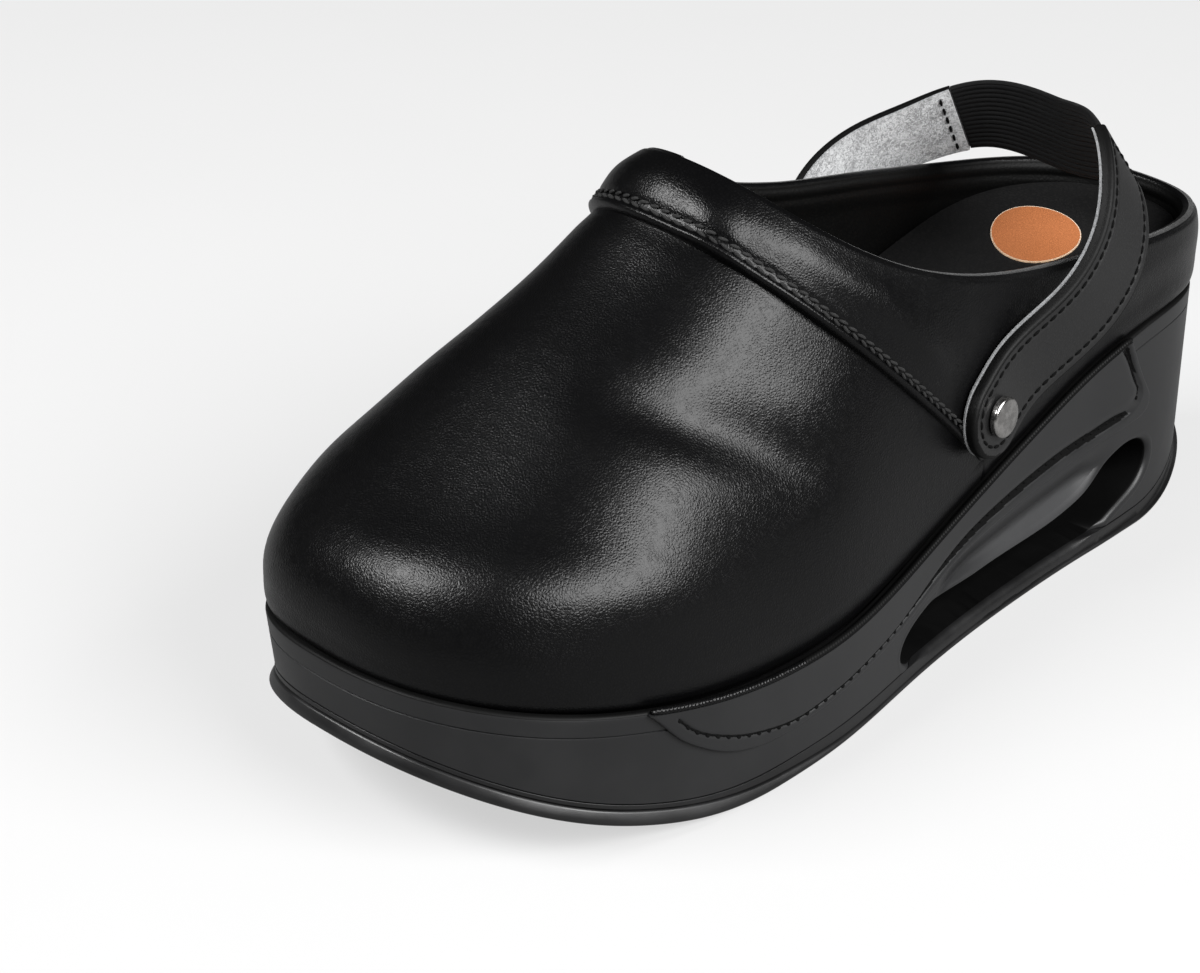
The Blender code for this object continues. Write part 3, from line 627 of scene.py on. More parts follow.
def sew(name, lines, stitch, thread, slot):
    piece = pathCurve(name, lines)
    row = piece.modifiers.new("stitchRow", "NODES")
    row.node_group = stitchTree
    values = {key.capitalize(): stitch[key] * mm for key in ("pitch", "length", "thickness")}
    values.update(Slant=math.radians(stitch["slant"]), Thread=finish[thread])
    for socket in stitchTree.interface.items_tree:
        if socket.name in values:
            row[socket.identifier] = values[socket.name]
    return settle(plainMesh(piece), slot)


# The upper: a vamp in front of the seam, a collar and heel wall behind it
vamp = {
    "columns": 120,
    "rows": 90,
    "bandRows": 10,
    "tuckPower": 4.0,
    "seamDip": 0.35,
    "seamDipWidth": 3.5,
    "toeSwell": 0.8,
    "toeSwellHeight": 8.0,
    "toeSwellRun": (175.0, 225.0),
    "swellFade": (0.5, 0.8),
}
collar = {
    "rearColumns": 70,
    "edgeRows": (0.0, 0.2, 0.45, 0.75, 1.1, 1.5, 2.0, 2.5, 2.9, 3.3, 3.8, 4.4, 5.2, 6.2),
    "rimRows": (6.0, 5.0, 4.2, 3.5, 2.9, 2.3, 1.7, 1.1, 0.6, 0.25, 0.0),
    "middleRows": 22,
    "step": 1.0,
    "fade": 10.0,
    "foldHeight": 1.5,
    "foldWidth": 1.1,
    "foldCrest": (1.1, 0.9),
    "seamRaise": 0.2,
    "stitchInset": (2.3, 3.5),
    "stitchStart": (6.0, 7.4),
    "stitchDip": 0.4,
    "stitchWidth": 0.7,
    "stitchProud": 0.25,
    "puff": 1.7,
    "puffPlace": (10.0, 15.0),
    "puffShift": (6.0, 15.0),
    "puffLimit": 0.6,
    "puffFade": (6.0, 36.0),
    "puffWidth": 6.5,
    "footFade": 10.0,
    "rimGroove": (0.45, 0.5),
    "rimRound": 0.9,
    "liningRoll": 0.7,
    "liningRollStart": (0.0, 1.2),
    "liningRollEnd": (9.0, 5.0),
    "liningGroove": (0.5, 3.2, 0.5),
    "heelSwell": 2.0,
    "heelSwellReach": 18.0,
}
seamStitch = {"pitch": 2.9, "length": 2.5, "thickness": 0.8, "slant": 15.0}

# Soft creases of the vamp: path by station and across, then depth (a ridge is negative) and width
creaseRows = (
    (((206, 14), (200, 25), (191, 33), (180, 37.5), (170, 40), (158, 41.5)), 2.1, 7.5),
    (((252, -16), (254, -2), (251.5, 13), (245, 26), (234, 36.5), (222, 43), (208, 46), (194, 46.5)),
     -2.0, 10.0),
    (((150, 31), (164, 33), (178, 33), (192, 29)), 1.0, 11.0),
    (((198, -32), (186, -39), (172, -41)), 1.4, 7.0),
    (((240, -31), (225, -41), (208, -45), (194, -46)), -1.0, 10.0),
)
creaseFade = 0.25  # share of a crease's length that fades out at each end
# A ridge of the collar with a small dent beside it, in the same form
dentRows = (
    (((171, 20.5), (168.6, 17.6), (166.4, 14), (164.4, 10.4)), -1.9, 5.5),
    (((172, 21.5), (169.8, 19), (167.6, 16), (165.4, 13)), 0.5, 2.6),
)


def riseLine(start, end, samples=260):
    part = np.linspace(0, 1, samples)[:, None] ** 2
    places = start + (end - start) * part
    return lastPoint(places[:, 0], places[:, 1])


def seamHeight(s):
    return shoe["seamHeight"] + shoe["seamSlope"] * (s - shoe["seamFoot"])


def edgePlaces(side, height, crossing, limit):
    # even places along an edge of given height, from the seam's foot up to the spine
    s = np.linspace(shoe["seamFoot"], limit, 4000)
    end = s[np.argmax(crossing(s) >= section["crown"](s))]
    s = shoe["seamFoot"] + (end - shoe["seamFoot"]) * np.sin(np.linspace(0, math.pi / 2, 600))
    share = shareAtHeight(s, height(s))
    share[-1] = 0.0
    places = upperPlan(s, side, share)
    run = runOf(lastPoint(places[:, 0], places[:, 1]))
    return atRuns(run, places, np.linspace(0, run[-1], len(frontStations)))


def seamPlaces(side, name):
    return edgePlaces(side, seamHeight, seamHeight, shoe["toeStart"])


def throatPlaces(side, name):
    return edgePlaces(side, toplineHeight[name], toplineHeight["lateral"], toplineRows[-1][0])


def bothSides(maker):
    lateral, medial = maker(1, "lateral"), maker(-1, "medial")
    return np.concatenate([lateral, medial[-2::-1]])


frontStations = evenStations(shoe["seamFoot"], shoe["length"], vamp["columns"])
rearStations = evenStations(0, shoe["seamFoot"], collar["rearColumns"])
upperS, upperSide = loopOf(np.concatenate([rearStations[:-1], frontStations]))
frontColumns = np.arange(collar["rearColumns"], len(upperS) - collar["rearColumns"] + 1)
isRear = np.ones(len(upperS), bool)
isRear[frontColumns] = False
widestPlaces = upperPlan(upperS, upperSide, 1.0)
widestSkin = lastPoint(widestPlaces[:, 0], widestPlaces[:, 1])
widestTurn = outward(widestSkin[:, :2])
seamLine = bothSides(seamPlaces)
bandParts = np.linspace(1, 0, vamp["bandRows"], endpoint=False)


def toeSwell(s, height):
    # the toe stands as wide as the platform under it
    fall = bell(np.clip(height, 0, None), vamp["toeSwellHeight"])
    return vamp["toeSwell"] * ramp(s, *vamp["toeSwellRun"]) * fall


def bandPoint(part):
    # the turned-in margin below the widest line: 1 at the feather, 0 at the widest line
    feather = overWell(widestSkin[:, :2] - widestTurn * shoe["tuck"])
    fade = 1 - ramp(part, *vamp["swellFade"])
    swell = toeSwell(upperS, 0.0) * fade + collar["heelSwell"] * heelCorner(upperS, upperSide) * fade
    ring = widestSkin[:, :2] - widestTurn * (shoe["tuck"] * part ** vamp["tuckPower"] - swell)[:, None]
    return np.column_stack([ring, widestSkin[:, 2] + part * (feather - widestSkin[:, 2])])


def creaseLift(points, rows, samples=80):
    # a soft trough or ridge: bells summed along each path, faded at its ends
    lift = np.zeros(len(points))
    for path, depth, width in rows:
        path = np.array(path, float)
        run = runOf(path)
        fine = spline(run, path)(np.linspace(0, run[-1], samples))
        line = lastPoint(fine[:, 1], fine[:, 0])
        along = np.linspace(0, 1, samples)
        step = runOf(line)[-1] / (samples - 1)
        fade = smooth(along / creaseFade) * smooth((1 - along) / creaseFade)
        share = fade * step / (width * math.sqrt(math.pi))
        away = np.linalg.norm(points[:, None] - line[None], axis=2)
        lift -= depth * (bell(away, width) * share).sum(axis=1)
    return lift


def makeVamp():
    rows = []
    for column, end in zip(frontColumns, seamLine):
        line = riseLine(widestPlaces[column], end)
        run = runOf(line)
        rows.append(atRuns(run, line, run[-1] * np.linspace(0, 1, vamp["rows"] + 1)))
    band = [bandPoint(part)[frontColumns] for part in bandParts]
    skin = np.concatenate([np.array(band), np.array(rows).transpose(1, 0, 2)])
    flat = skin.reshape(-1, 3)
    normal = lastNormal(flat)
    s = flip(flat[:, 1])
    lift = creaseLift(flat, creaseRows) + toeSwell(s, flat[:, 2] - widestHeight(s))
    toSeam = np.linalg.norm(skin - skin[-1:], axis=2).ravel()
    lift -= vamp["seamDip"] * bell(toSeam, vamp["seamDipWidth"])
    lift[:vamp["bandRows"] * skin.shape[1]] = 0.0  # the margin keeps its place
    outer = flat + normal * lift[:, None]
    inner = flat + normal * (lift - shoe["wall"])[:, None]
    points = np.concatenate([outer.reshape(skin.shape), inner.reshape(skin.shape)[::-1]])
    index = numbered(points)
    faces = gridFaces(index, closedRows=True)
    material = [0] * (len(faces) // 2) + [1] * (len(faces) - len(faces) // 2) + [0, 0]
    for column in (0, -1):
        ends = [index[:vamp["bandRows"] + 1, column], index[-vamp["bandRows"] - 1:, column]]
        faces.append(np.concatenate(ends).tolist())
    settle(makePiece("vamp", points, faces, ("upper", "lining"), material), "black_leather", "upper")


def collarPaths():
    top = np.zeros((len(upperS), 2))
    top[frontColumns] = bothSides(throatPlaces)
    for side, name in ((1, "lateral"), (-1, "medial")):
        chosen = isRear & (upperSide == side)
        share = shareAtHeight(upperS[chosen], toplineHeight[name](upperS[chosen]))
        top[chosen] = upperPlan(upperS[chosen], side, share)
    start = widestPlaces.copy()
    start[frontColumns] = seamLine
    return [riseLine(a, b) for a, b in zip(start, top)]


def collarRuns(length):
    low = np.array(collar["edgeRows"])
    high = length - np.array(collar["rimRows"])
    middle = np.linspace(low[-1], high[0], collar["middleRows"] + 2)[1:-1]
    return np.sort(np.concatenate([low, middle, high]))


def collarLift(run, length, front, away, foot):
    # stands proud of the vamp, with a folded edge, sunk stitches and a soft roll along its middle
    step, raised = collar["step"], collar["seamRaise"]
    rear = step * smooth(run / collar["fade"])
    fold = np.sqrt(np.clip(1 - (1 - np.clip(run / collar["foldWidth"], 0, 1)) ** 2, 0, 1))
    crest, width = collar["foldCrest"]
    seam = step + raised + (collar["foldHeight"] - step - raised) * bell(run - crest, width)
    for inset in collar["stitchInset"]:
        seam = seam - collar["stitchDip"] * bell(run - inset, collar["stitchWidth"])
    low, high = collar["puffPlace"]
    place = np.minimum(low + (high - low) * ramp(foot[0], *collar["puffShift"]), length * collar["puffLimit"])
    puff = collar["puff"] * bell(run - place, collar["puffWidth"]) * ramp(away, *collar["puffFade"])
    weight = smooth(away / collar["footFade"])
    lift = front * ((fold * seam + puff) * weight + rear * (1 - weight)) + (1 - front) * rear
    depth, width = collar["rimGroove"]
    return lift - depth * bell(length - run, width)


def liningLift(run, length):
    fromTop = length - run
    roll = collar["liningRoll"] * ramp(fromTop, *collar["liningRollStart"])
    roll = roll * ramp(fromTop, *collar["liningRollEnd"])
    depth, place, width = collar["liningGroove"]
    return -shoe["wall"] - roll + depth * bell(fromTop - place, width)


def makeCollar():
    paths = collarPaths()
    seamRun = runOf(lastPoint(seamLine[:, 0], seamLine[:, 1]))
    awayFromFoot = np.zeros(len(paths))
    awayFromFoot[frontColumns] = np.minimum(seamRun, seamRun[-1] - seamRun)
    skin, lifts, linings, runs = [], [], [], []
    for c, line in enumerate(paths):
        run = runOf(line)
        wanted = collarRuns(run[-1])
        skin.append(atRuns(run, line, wanted))
        front = 0.0 if isRear[c] else 1.0
        swell = collar["heelSwell"] * heelCorner(upperS[c], upperSide[c])
        swell = swell * (1 - smooth(wanted / collar["heelSwellReach"]))
        lifts.append(collarLift(wanted, run[-1], front, awayFromFoot[c], line[0]) + swell)
        linings.append(liningLift(wanted, run[-1]))
        runs.append(wanted)
    skin = np.array(skin).transpose(1, 0, 2)
    normal = lastNormal(skin)
    dents = creaseLift(skin.reshape(-1, 3), dentRows).reshape(skin.shape[:2])
    outer = skin + normal * (np.array(lifts).T + dents)[..., None]
    inner = skin + normal * np.array(linings).T[..., None]
    bandOuter, bandInner = [], []
    for part in bandParts:
        ring = bandPoint(part)
        ring[frontColumns] = skin[0][frontColumns]
        turn = lastNormal(ring)
        bandOuter.append(np.where(isRear[:, None], ring, outer[0]))
        bandInner.append(np.where(isRear[:, None], ring - turn * shoe["wall"], inner[0]))
    middle = (outer[-1] + inner[-1]) / 2
    half = (outer[-1] - inner[-1]) / 2
    rise = unit(skin[-1] - skin[-4])
    rim = [middle + half * math.cos(a) + rise * collar["rimRound"] * math.sin(a)
           for a in np.linspace(0, math.pi, 7)[1:-1]]
    points = np.concatenate([bandOuter, outer, rim, inner[::-1], bandInner[::-1]])
    faces = gridFaces(numbered(points), closedRows=True, closedColumns=True)
    rimStart = len(bandOuter) + len(outer)
    rowMaterial = np.zeros(len(points), int)
    rowMaterial[rimStart + len(rim) - 1:-1] = 1
    rowMaterial[rimStart:rimStart + 2] = 2
    material = np.repeat(rowMaterial, points.shape[1])
    piece = makePiece("collar", points, faces, ("upper", "lining", "cutEdge"), material)
    settle(piece, "black_leather", "upper")
    rowNames = ("seamStitchesLow", "seamStitchesHigh")
    for name, inset, start, slant in zip(rowNames, collar["stitchInset"], collar["stitchStart"], (1, -1)):
        line = []
        for c in frontColumns[awayFromFoot[frontColumns] >= start]:
            j = np.searchsorted(runs[c], inset)
            part = (inset - runs[c][j - 1]) / (runs[c][j] - runs[c][j - 1])
            spot = outer[j - 1, c] * (1 - part) + outer[j, c] * part
            line.append(spot + normal[j, c] * collar["stitchProud"])
        stitch = dict(seamStitch, slant=slant * seamStitch["slant"])
        sew(name, [np.array(line)], stitch, "thread", "black_leather")


makeVamp()
makeCollar()

# The platform: its wall carries a raised panel, and under it a crease and a lip over the slot
platform = {
    "columns": 340,
    "topRows": (0.9, 1.7, 2.7, 3.6, 4.2, 4.48, 4.61, 4.7, 4.79, 4.92, 5.2, 5.8),
    "wallRows": 46,
    "topRound": 0.9,
    "rimBevel": 0.5,
    "lineDrop": 4.7,
    "lineDepth": 0.4,
    "lineWidth": 0.13,
    "seat": 1.0,
    "seatEdge": (0.6, 1.2),
    "seatTop": (3.0, 6.0),
    "heelSwell": 2.0,
    "toeRun": (205.0, 240.0),
    "toeWidth": 26.0,
    "toeDraft": 1.8,
    "toeDraftLow": 0.8,
    "sharpAngle": 40.0,
}
hood = {
    "depth": 2.0,
    "reach": 5.0,
    "lipRaise": 1.6,
    "leastFall": 1.0,
    "blur": (-0.5, 0.0, 0.5),
    "start": (47.0, 63.0),
    "end": (131.0, 105.0),
    "floor": (8.0, 11.0),
    # where the painted light on the lip starts, ends and reaches below it
    "lipLightStart": (52.0, 62.0),
    "lipLightEnd": (126.0, 86.0),
    "lipLightBelow": 1.5,
}
archSlot = {
    "round": 1.5,
    "cut": 1.7,
    "columns": 300,
    "cutterReach": 80.0,
    "proud": 0.04,
    "flange": ((1.1, 0.1), (0.7, 0.0), (0.3, -0.04)),
    "skirt": 3.0,
    "skirtDrop": 0.7,
    "floorRise": 0.12,
    "sink": 0.2,
    "sinkFrom": 2.0,
    "sinkReach": 1.8,
    "sinkFront": (134.0, 129.0),
    "weld": 0.000002,  # in metres
}
panel = {
    "raise": 1.1,
    "sink": 1.3,
    "edgeRound": 0.7,
    "stitchDip": (0.5, 1.4),
    "stitchWidth": (0.35, 1.1),
    "seamOpens": (150.0, 105.0),
    "seamNarrows": (42.0, 50.0),
    "seamShadeWidth": 1.2,
    "columns": 260,
    "edgeRows": (0.0, 0.08, 0.2, 0.36, 0.55, 0.8, 1.2, 1.6, 1.9, 2.1, 2.3, 2.5, 2.7, 3.0, 3.3, 3.6, 3.9, 4.2,
                 4.5, 4.8, 5.2),
    "edgeShare": 0.8,
    "fillRows": 12,
    "topDrop": 0.35,
    "topShift": 12.0,
    "topShiftRun": 0.12,
}
piping = {
    "radius": 0.8,
    "out": 0.3,
    "drop": -0.15,
    "step": 0.15,
    "segments": 12,
    "pitch": 0.9,
    "ribHeight": 0.1,
    "endTaper": 2.5,
    "endShare": 0.35,
    "shadedTo": 178.0,
}
panelThread = {"pitch": 1.2, "length": 1.6, "thickness": 0.5, "slant": 0.0, "drop": 0.0, "proud": 0.05}
panelStitch = {"pitch": 3.1, "length": 1.4, "thickness": 0.95, "slant": 12.0, "drop": 0.25, "proud": 0.1}
# Lines of the side view, by station and height
panelLowEdge = (
    (35.0, 31.3), (37.5, 30.3), (42.0, 29.9), (50.8, 29.7), (63.0, 29.1), (80.0, 27.7), (96.5, 26.1),
    (106.0, 25.0), (115.0, 23.8), (127.0, 20.8), (140.0, 17.3), (153.0, 15.3), (165.0, 13.8), (173.0, 13.0),
    (181.0, 12.4), (193.0, 13.0), (204.0, 16.3), (208.7, 18.9), (213.8, 22.5), (218.0, 27.0), (221.0, 30.0),
)
panelRearEdge = ((44.9, 52.4), (41.8, 47.0), (38.4, 41.5), (35.6, 37.4), (34.3, 34.9), (34.2, 32.8))
panelUnder = ((226.0, 45.0), (140.0, 60.0), (50.0, 70.0))
panelSewRows = (
    (48.4, 52.4), (45.0, 47.2), (41.7, 41.3), (39.6, 37.0), (41.8, 34.6), (48.4, 33.7), (60.0, 33.1),
    (67.4, 32.9), (82.2, 31.7), (97.5, 29.8), (114.0, 27.0), (127.7, 23.2), (140.3, 19.5), (153.6, 17.2),
    (165.4, 15.6), (172.6, 14.9), (179.3, 14.5), (185.8, 15.1), (192.0, 16.3), (198.1, 17.9), (203.8, 20.1),
    (209.0, 22.7), (211.6, 24.7), (214.2, 27.4),
)
hoodRows = (
    # station, crease and lip heights over the slot
    (42.5, 24.8, 23.8), (51.0, 23.4, 21.6), (60.0, 22.3, 18.0), (75.0, 21.2, 15.8), (98.0, 19.6, 16.0),
    (120.0, 17.2, 16.2), (132.0, 14.8, 14.2),
)
slotEdge = (
    (137.0, 9.5), (132.0, 14.2), (120.0, 16.2), (98.0, 16.0), (75.0, 15.8), (60.0, 18.0), (51.0, 21.6),
    (42.5, 23.8), (34.0, 22.3), (30.5, 17.0), (35.0, 11.0), (46.0, 7.4), (60.0, 3.9), (95.0, 3.6),
    (128.0, 3.9),
)


def closedSpline(points, count):
    ring = np.array(points, float)
    size = len(ring)
    wrapped = np.concatenate([ring, ring, ring, ring[:1]])
    return spline(np.arange(len(wrapped)) - size, wrapped)(np.linspace(0, size, count, endpoint=False))


def openSpline(points, count):
    line = np.array(points, float)
    run = runOf(line)
    return spline(run, line)(np.linspace(0, run[-1], count))


def edgeDistance(s, z, line, closed=False):
    # distance to a polyline in the side view, signed positive inside a closed one
    ends = np.roll(line, -1, 0) if closed else line[1:]
    starts = line if closed else line[:-1]
    best = np.full(s.shape, 1e9)
    inside = np.zeros(s.shape, bool)
    for (s0, z0), (s1, z1) in zip(starts, ends):
        ds, dz = s1 - s0, z1 - z0
        part = np.clip(((s - s0) * ds + (z - z0) * dz) / (ds * ds + dz * dz + 1e-9), 0, 1)
        best = np.minimum(best, np.hypot(s - s0 - part * ds, z - z0 - part * dz))
        if closed and z0 != z1:
            inside ^= ((z0 > z) != (z1 > z)) & (s < s0 + (z - z0) * ds / dz)
    return np.where(inside, best, -best) if closed else best


panelSewn = np.concatenate([openSpline(panelRearEdge, 30), openSpline(panelLowEdge, 200)])
panelSewLine = openSpline(panelSewRows, 260)
panelBorder = np.concatenate([panelSewn, np.array(panelUnder)])
hoodLine = tableSplines("station crease lip", hoodRows)
slotBorder = closedSpline(slotEdge, archSlot["columns"])
slotNext = np.roll(slotBorder, -1, 0)
slotTurn = np.sign(np.sum(slotBorder[:, 0] * slotNext[:, 1] - slotNext[:, 0] * slotBorder[:, 1]))


def toeMedial(s, side):
    return ramp(s, *platform["toeRun"]) * smooth(-outlineOffset(s, side) / platform["toeWidth"])


def hoodLift(s, z):
    # over the slot the wall draws in to a crease, then flares out to a lip
    crease, lip = hoodLine["crease"](s), hoodLine["lip"](s)
    depth, reach = hood["depth"], hood["reach"]
    lift = 0.0
    for shift in hood["blur"]:
        drawn = np.clip((crease + reach - z - shift) / reach, 0, 1)
        flared = np.clip((crease - z - shift) / np.maximum(crease - lip, hood["leastFall"]), 0, 1)
        lift = lift + ((hood["lipRaise"] + depth) * flared - depth * drawn) / len(hood["blur"])
    return lift * ramp(s, *hood["start"]) * ramp(s, *hood["end"]) * ramp(z, *hood["floor"])


def paintLipLight(piece):
    # painted light: the lip over the slot faces the softbox, so it is painted paler
    places = np.empty(len(piece.data.vertices) * 3, np.float32)
    piece.data.vertices.foreach_get("co", places)
    places = places.reshape(-1, 3) / mm
    s, z = flip(places[:, 1]), places[:, 2]
    mask = smooth(hoodLine["crease"](s) - z) * smooth(z - hoodLine["lip"](s) + hood["lipLightBelow"])
    mask = mask * ramp(s, *hood["lipLightStart"]) * ramp(s, *hood["lipLightEnd"])
    piece.data.attributes.new("wearAndPaintedLight", "FLOAT", "POINT").data.foreach_set("value", mask.astype(np.float32))


def wallLift(s, z, side):
    top = section["soleTop"](s)
    base = soleBottom(s) + shoe["outsoleThickness"]
    border = edgeDistance(s, z, panelBorder, closed=True)
    lift = -platform["lineDepth"] * bell(z - top + platform["lineDrop"], platform["lineWidth"]) * (border < 0)
    lift += hoodLift(s, z) + platform["heelSwell"] * heelCorner(s, side)
    rise = np.clip((z - base) / (top - base), 0, 1)
    return lift + toeMedial(s, side) * (platform["toeDraft"] * rise - platform["toeDraftLow"])


def panelSeat(s, z):
    # the wall is sunk under the panel
    border = edgeDistance(s, z, panelBorder, closed=True)
    fall = section["soleTop"](s) - z
    return platform["seat"] * ramp(border, *platform["seatEdge"]) * ramp(fall, *platform["seatTop"])


def slotRing(out):
    # the slot's border, grown outwards in the side view
    along = unit(slotNext - np.roll(slotBorder, 1, 0))
    return slotBorder + out * np.stack([along[:, 1], -along[:, 0]], -1) * slotTurn


def slotCutter():
    ring = slotRing(archSlot["cut"])
    reach = archSlot["cutterReach"]
    points = np.array([[(x, flip(s), z) for s, z in ring] for x in (-reach, reach)])
    index = numbered(points)
    faces = gridFaces(index, closedColumns=True) + [index[0].tolist(), index[1][::-1].tolist()]
    return makePiece("slotCutter", points, faces, ())


def wallFrame(s, side, step=0.3):
    # the wall's plan point and outward direction at a station
    place = np.stack([s - step, s, s + step])
    across = outlineOffset(place, side * np.ones(place.shape))
    ring = np.stack([section["centre"](place) + across, flip(place)], -1)
    along = ring[2] - ring[0]
    turn = unit(np.stack([-along[..., 1], along[..., 0]], -1))
    return ring[1], turn * np.sign(turn[..., :1]) * side


def wallPoints(s, z, side, lift):
    ring, turn = wallFrame(s, side)
    return np.concatenate([ring + turn * (wallLift(s, z, side) + lift)[..., None], z[..., None]], -1)


def makeSlotLiner():
    # rounds the slot's edges and lines it from one side of the shoe to the other
    radius = archSlot["round"]
    profile = [(radius + out, depth) for out, depth in archSlot["flange"]]
    profile += [(radius * (1 - math.sin(a)), radius * (1 - math.cos(a)) - archSlot["proud"] * math.cos(a))
                for a in np.linspace(0, math.pi / 2, 9)]
    floor = shoe["outsoleThickness"] + archSlot["floorRise"]
    low = smooth((floor + archSlot["sinkFrom"] - slotBorder[:, 1]) / archSlot["sinkReach"])
    low = low * ramp(slotBorder[:, 0], *archSlot["sinkFront"])
    rows = {}
    for side in (1, -1):
        s, z = slotRing(profile[0][0]).T
        skirt = np.full(len(s), -archSlot["skirt"])
        rows[side] = [wallPoints(s, np.maximum(z, floor - archSlot["skirtDrop"]), side, skirt)]
        for out, depth in profile:
            s, z = slotRing(out).T
            lift = -depth - (archSlot["sink"] + radius - min(depth, radius)) * low
            rows[side].append(wallPoints(s, np.maximum(z, floor), side, lift))
    tunnel = [rows[1][-1] + (rows[-1][-1] - rows[1][-1]) * part for part in np.linspace(0, 1, 10)[1:-1]]
    points = np.array(rows[1] + tunnel + rows[-1][::-1])
    faces = gridFaces(numbered(points), closedRows=True, closedColumns=True)
    # painted shade: the inner rounding and the tunnel of the slot take slotShade
    rowMaterial = np.zeros(len(points), int)
    rowMaterial[len(rows[1]) - 3:len(rows[1]) + len(tunnel) + 2] = 1
    material = np.repeat(rowMaterial, points.shape[1])
    piece = makePiece("slotLiner", points, faces, ("platform", "slotShade"), material,
                      weld=archSlot["weld"], sharpAngle=60)
    paintLipLight(piece)
    settle(piece, "platform_foam", "sole")


def makePlatform():
    s, side = loopOf(evenStations(0, shoe["length"], platform["columns"]))
    ring, turn = planLoop(s, side)
    base = soleBottom(s) + shoe["outsoleThickness"] + shoe["gap"]
    top = section["soleTop"](s)
    lowest = platform["topRows"][-1]
    parts = np.linspace(0, 1, platform["wallRows"], endpoint=False)
    heights = [base + part * (top - lowest - base) for part in parts]
    heights += [top - drop for drop in platform["topRows"][::-1]]
    rows = [(wallLift(s, z, side) - panelSeat(s, z), z) for z in heights]
    edge = rows[-1][0]
    r = platform["topRound"]
    for angle in np.linspace(0, math.pi / 2, 5)[1:]:
        rows.append((edge - r * (1 - math.cos(angle)), top - r + r * math.sin(angle)))
    inner, bevel = 0 * s - shoe["rimWidth"], platform["rimBevel"]
    rows += [(inner + bevel, top), (inner, top - bevel), (inner, top - shoe["wellDepth"])]
    points = stackRings(ring, turn, rows)
    index = numbered(points)
    faces = gridFaces(index, closedColumns=True) + ladderFaces(index[0]) + ladderFaces(index[-1])
    # painted shade: the top rounding and the rim take slotShade, for the dark gap between the upper and the
    # sole
    material = np.zeros(len(faces), int)
    material[len(heights) * len(s):(len(rows) - 1) * len(s)] = 1
    sharp = platform["sharpAngle"]
    piece = makePiece("platformSole", points, faces, ("platform", "slotShade"), material, sharpAngle=sharp)
    cutter = slotCutter()
    piece.modifiers.new("slot", "BOOLEAN").object = cutter
    piece = plainMesh(piece)
    bpy.data.objects.remove(cutter)
    piece.data.set_sharp_from_angle(angle=math.radians(sharp))
    paintLipLight(piece)
    settle(piece, "platform_foam", "sole")


def rearSeam(s):
    # towards the heel the panel's seam opens into a broad groove, and the painted shade along it widens
    return ramp(s, *panel["seamOpens"]) * (0.5 + 0.5 * ramp(s, *panel["seamNarrows"]))


def seamValue(key, s):
    low, high = panel[key]
    return low + (high - low) * rearSeam(s)


def panelLift(s, z):
    edge = np.clip(edgeDistance(s, z, panelSewn) / panel["edgeRound"], 0, 1)
    groove = seamValue("stitchDip", s) * bell(edgeDistance(s, z, panelSewLine), seamValue("stitchWidth", s))
    return panel["raise"] * np.sqrt(1 - (1 - edge) ** 2) - groove


def makePanel(name, side):
    run = runOf(panelSewn)
    border = atRuns(run, panelSewn, np.linspace(0, run[-1], panel["columns"]))
    start, end = border[0, 0], border[-1, 0]
    part = np.linspace(0, 1, panel["columns"])
    topS = np.interp(border[:, 0], (border[:, 0].min(), end), (start + panel["topShift"], end))
    topS = start + (topS - start) * smooth(part / panel["topShiftRun"])
    top = np.stack([topS, section["soleTop"](topS) - panel["topDrop"]], -1)
    near = np.array(panel["edgeRows"])
    rows = []
    for span in np.linalg.norm(top - border, axis=1):
        reach = min(1.0, panel["edgeShare"] * span / near[-1])
        far = np.linspace(near[-1] * reach, max(span, 1e-3), panel["fillRows"] + 1)[1:]
        rows.append(np.concatenate([near * reach, far]) / max(span, 1e-3))
    shares = np.array(rows).T
    s = border[:, 0] + shares * (top - border)[:, 0]
    z = border[:, 1] + shares * (top - border)[:, 1]
    outer = wallPoints(s, z, side, panelLift(s, z))
    inner = wallPoints(s, z, side, np.full(s.shape, -panel["sink"]))
    points = np.concatenate([outer, inner[::-1]])
    index = numbered(points)
    faces = gridFaces(index, closedRows=True) + capFaces(index[:, 0]) + capFaces(index[:, -1])
    # painted shade: faces along the sewn line take the near-black seamShade, widening towards the heel
    dark = cellSum(edgeDistance(s, z, panelSewLine) - panel["seamShadeWidth"] * rearSeam(s)).ravel() < 0
    material = np.zeros(len(faces), int)
    material[:len(dark)] = dark
    settle(makePiece(name, points, faces, ("platform", "seamShade"), material), "platform_foam", "sole")


def makePanelStitches():
    s, z = panelSewLine.T
    for name, stitch in (("panelThread", panelThread), ("panelStitches", panelStitch)):
        level = panel["raise"] - seamValue("stitchDip", s) + stitch["proud"]
        rows = [wallPoints(s, z - stitch["drop"], side, level) for side in (1, -1)]
        # the stitches take the same painted seam shade, so they sink into the shaded band
        sew(name, rows, stitch, "seamShade", "platform_foam")


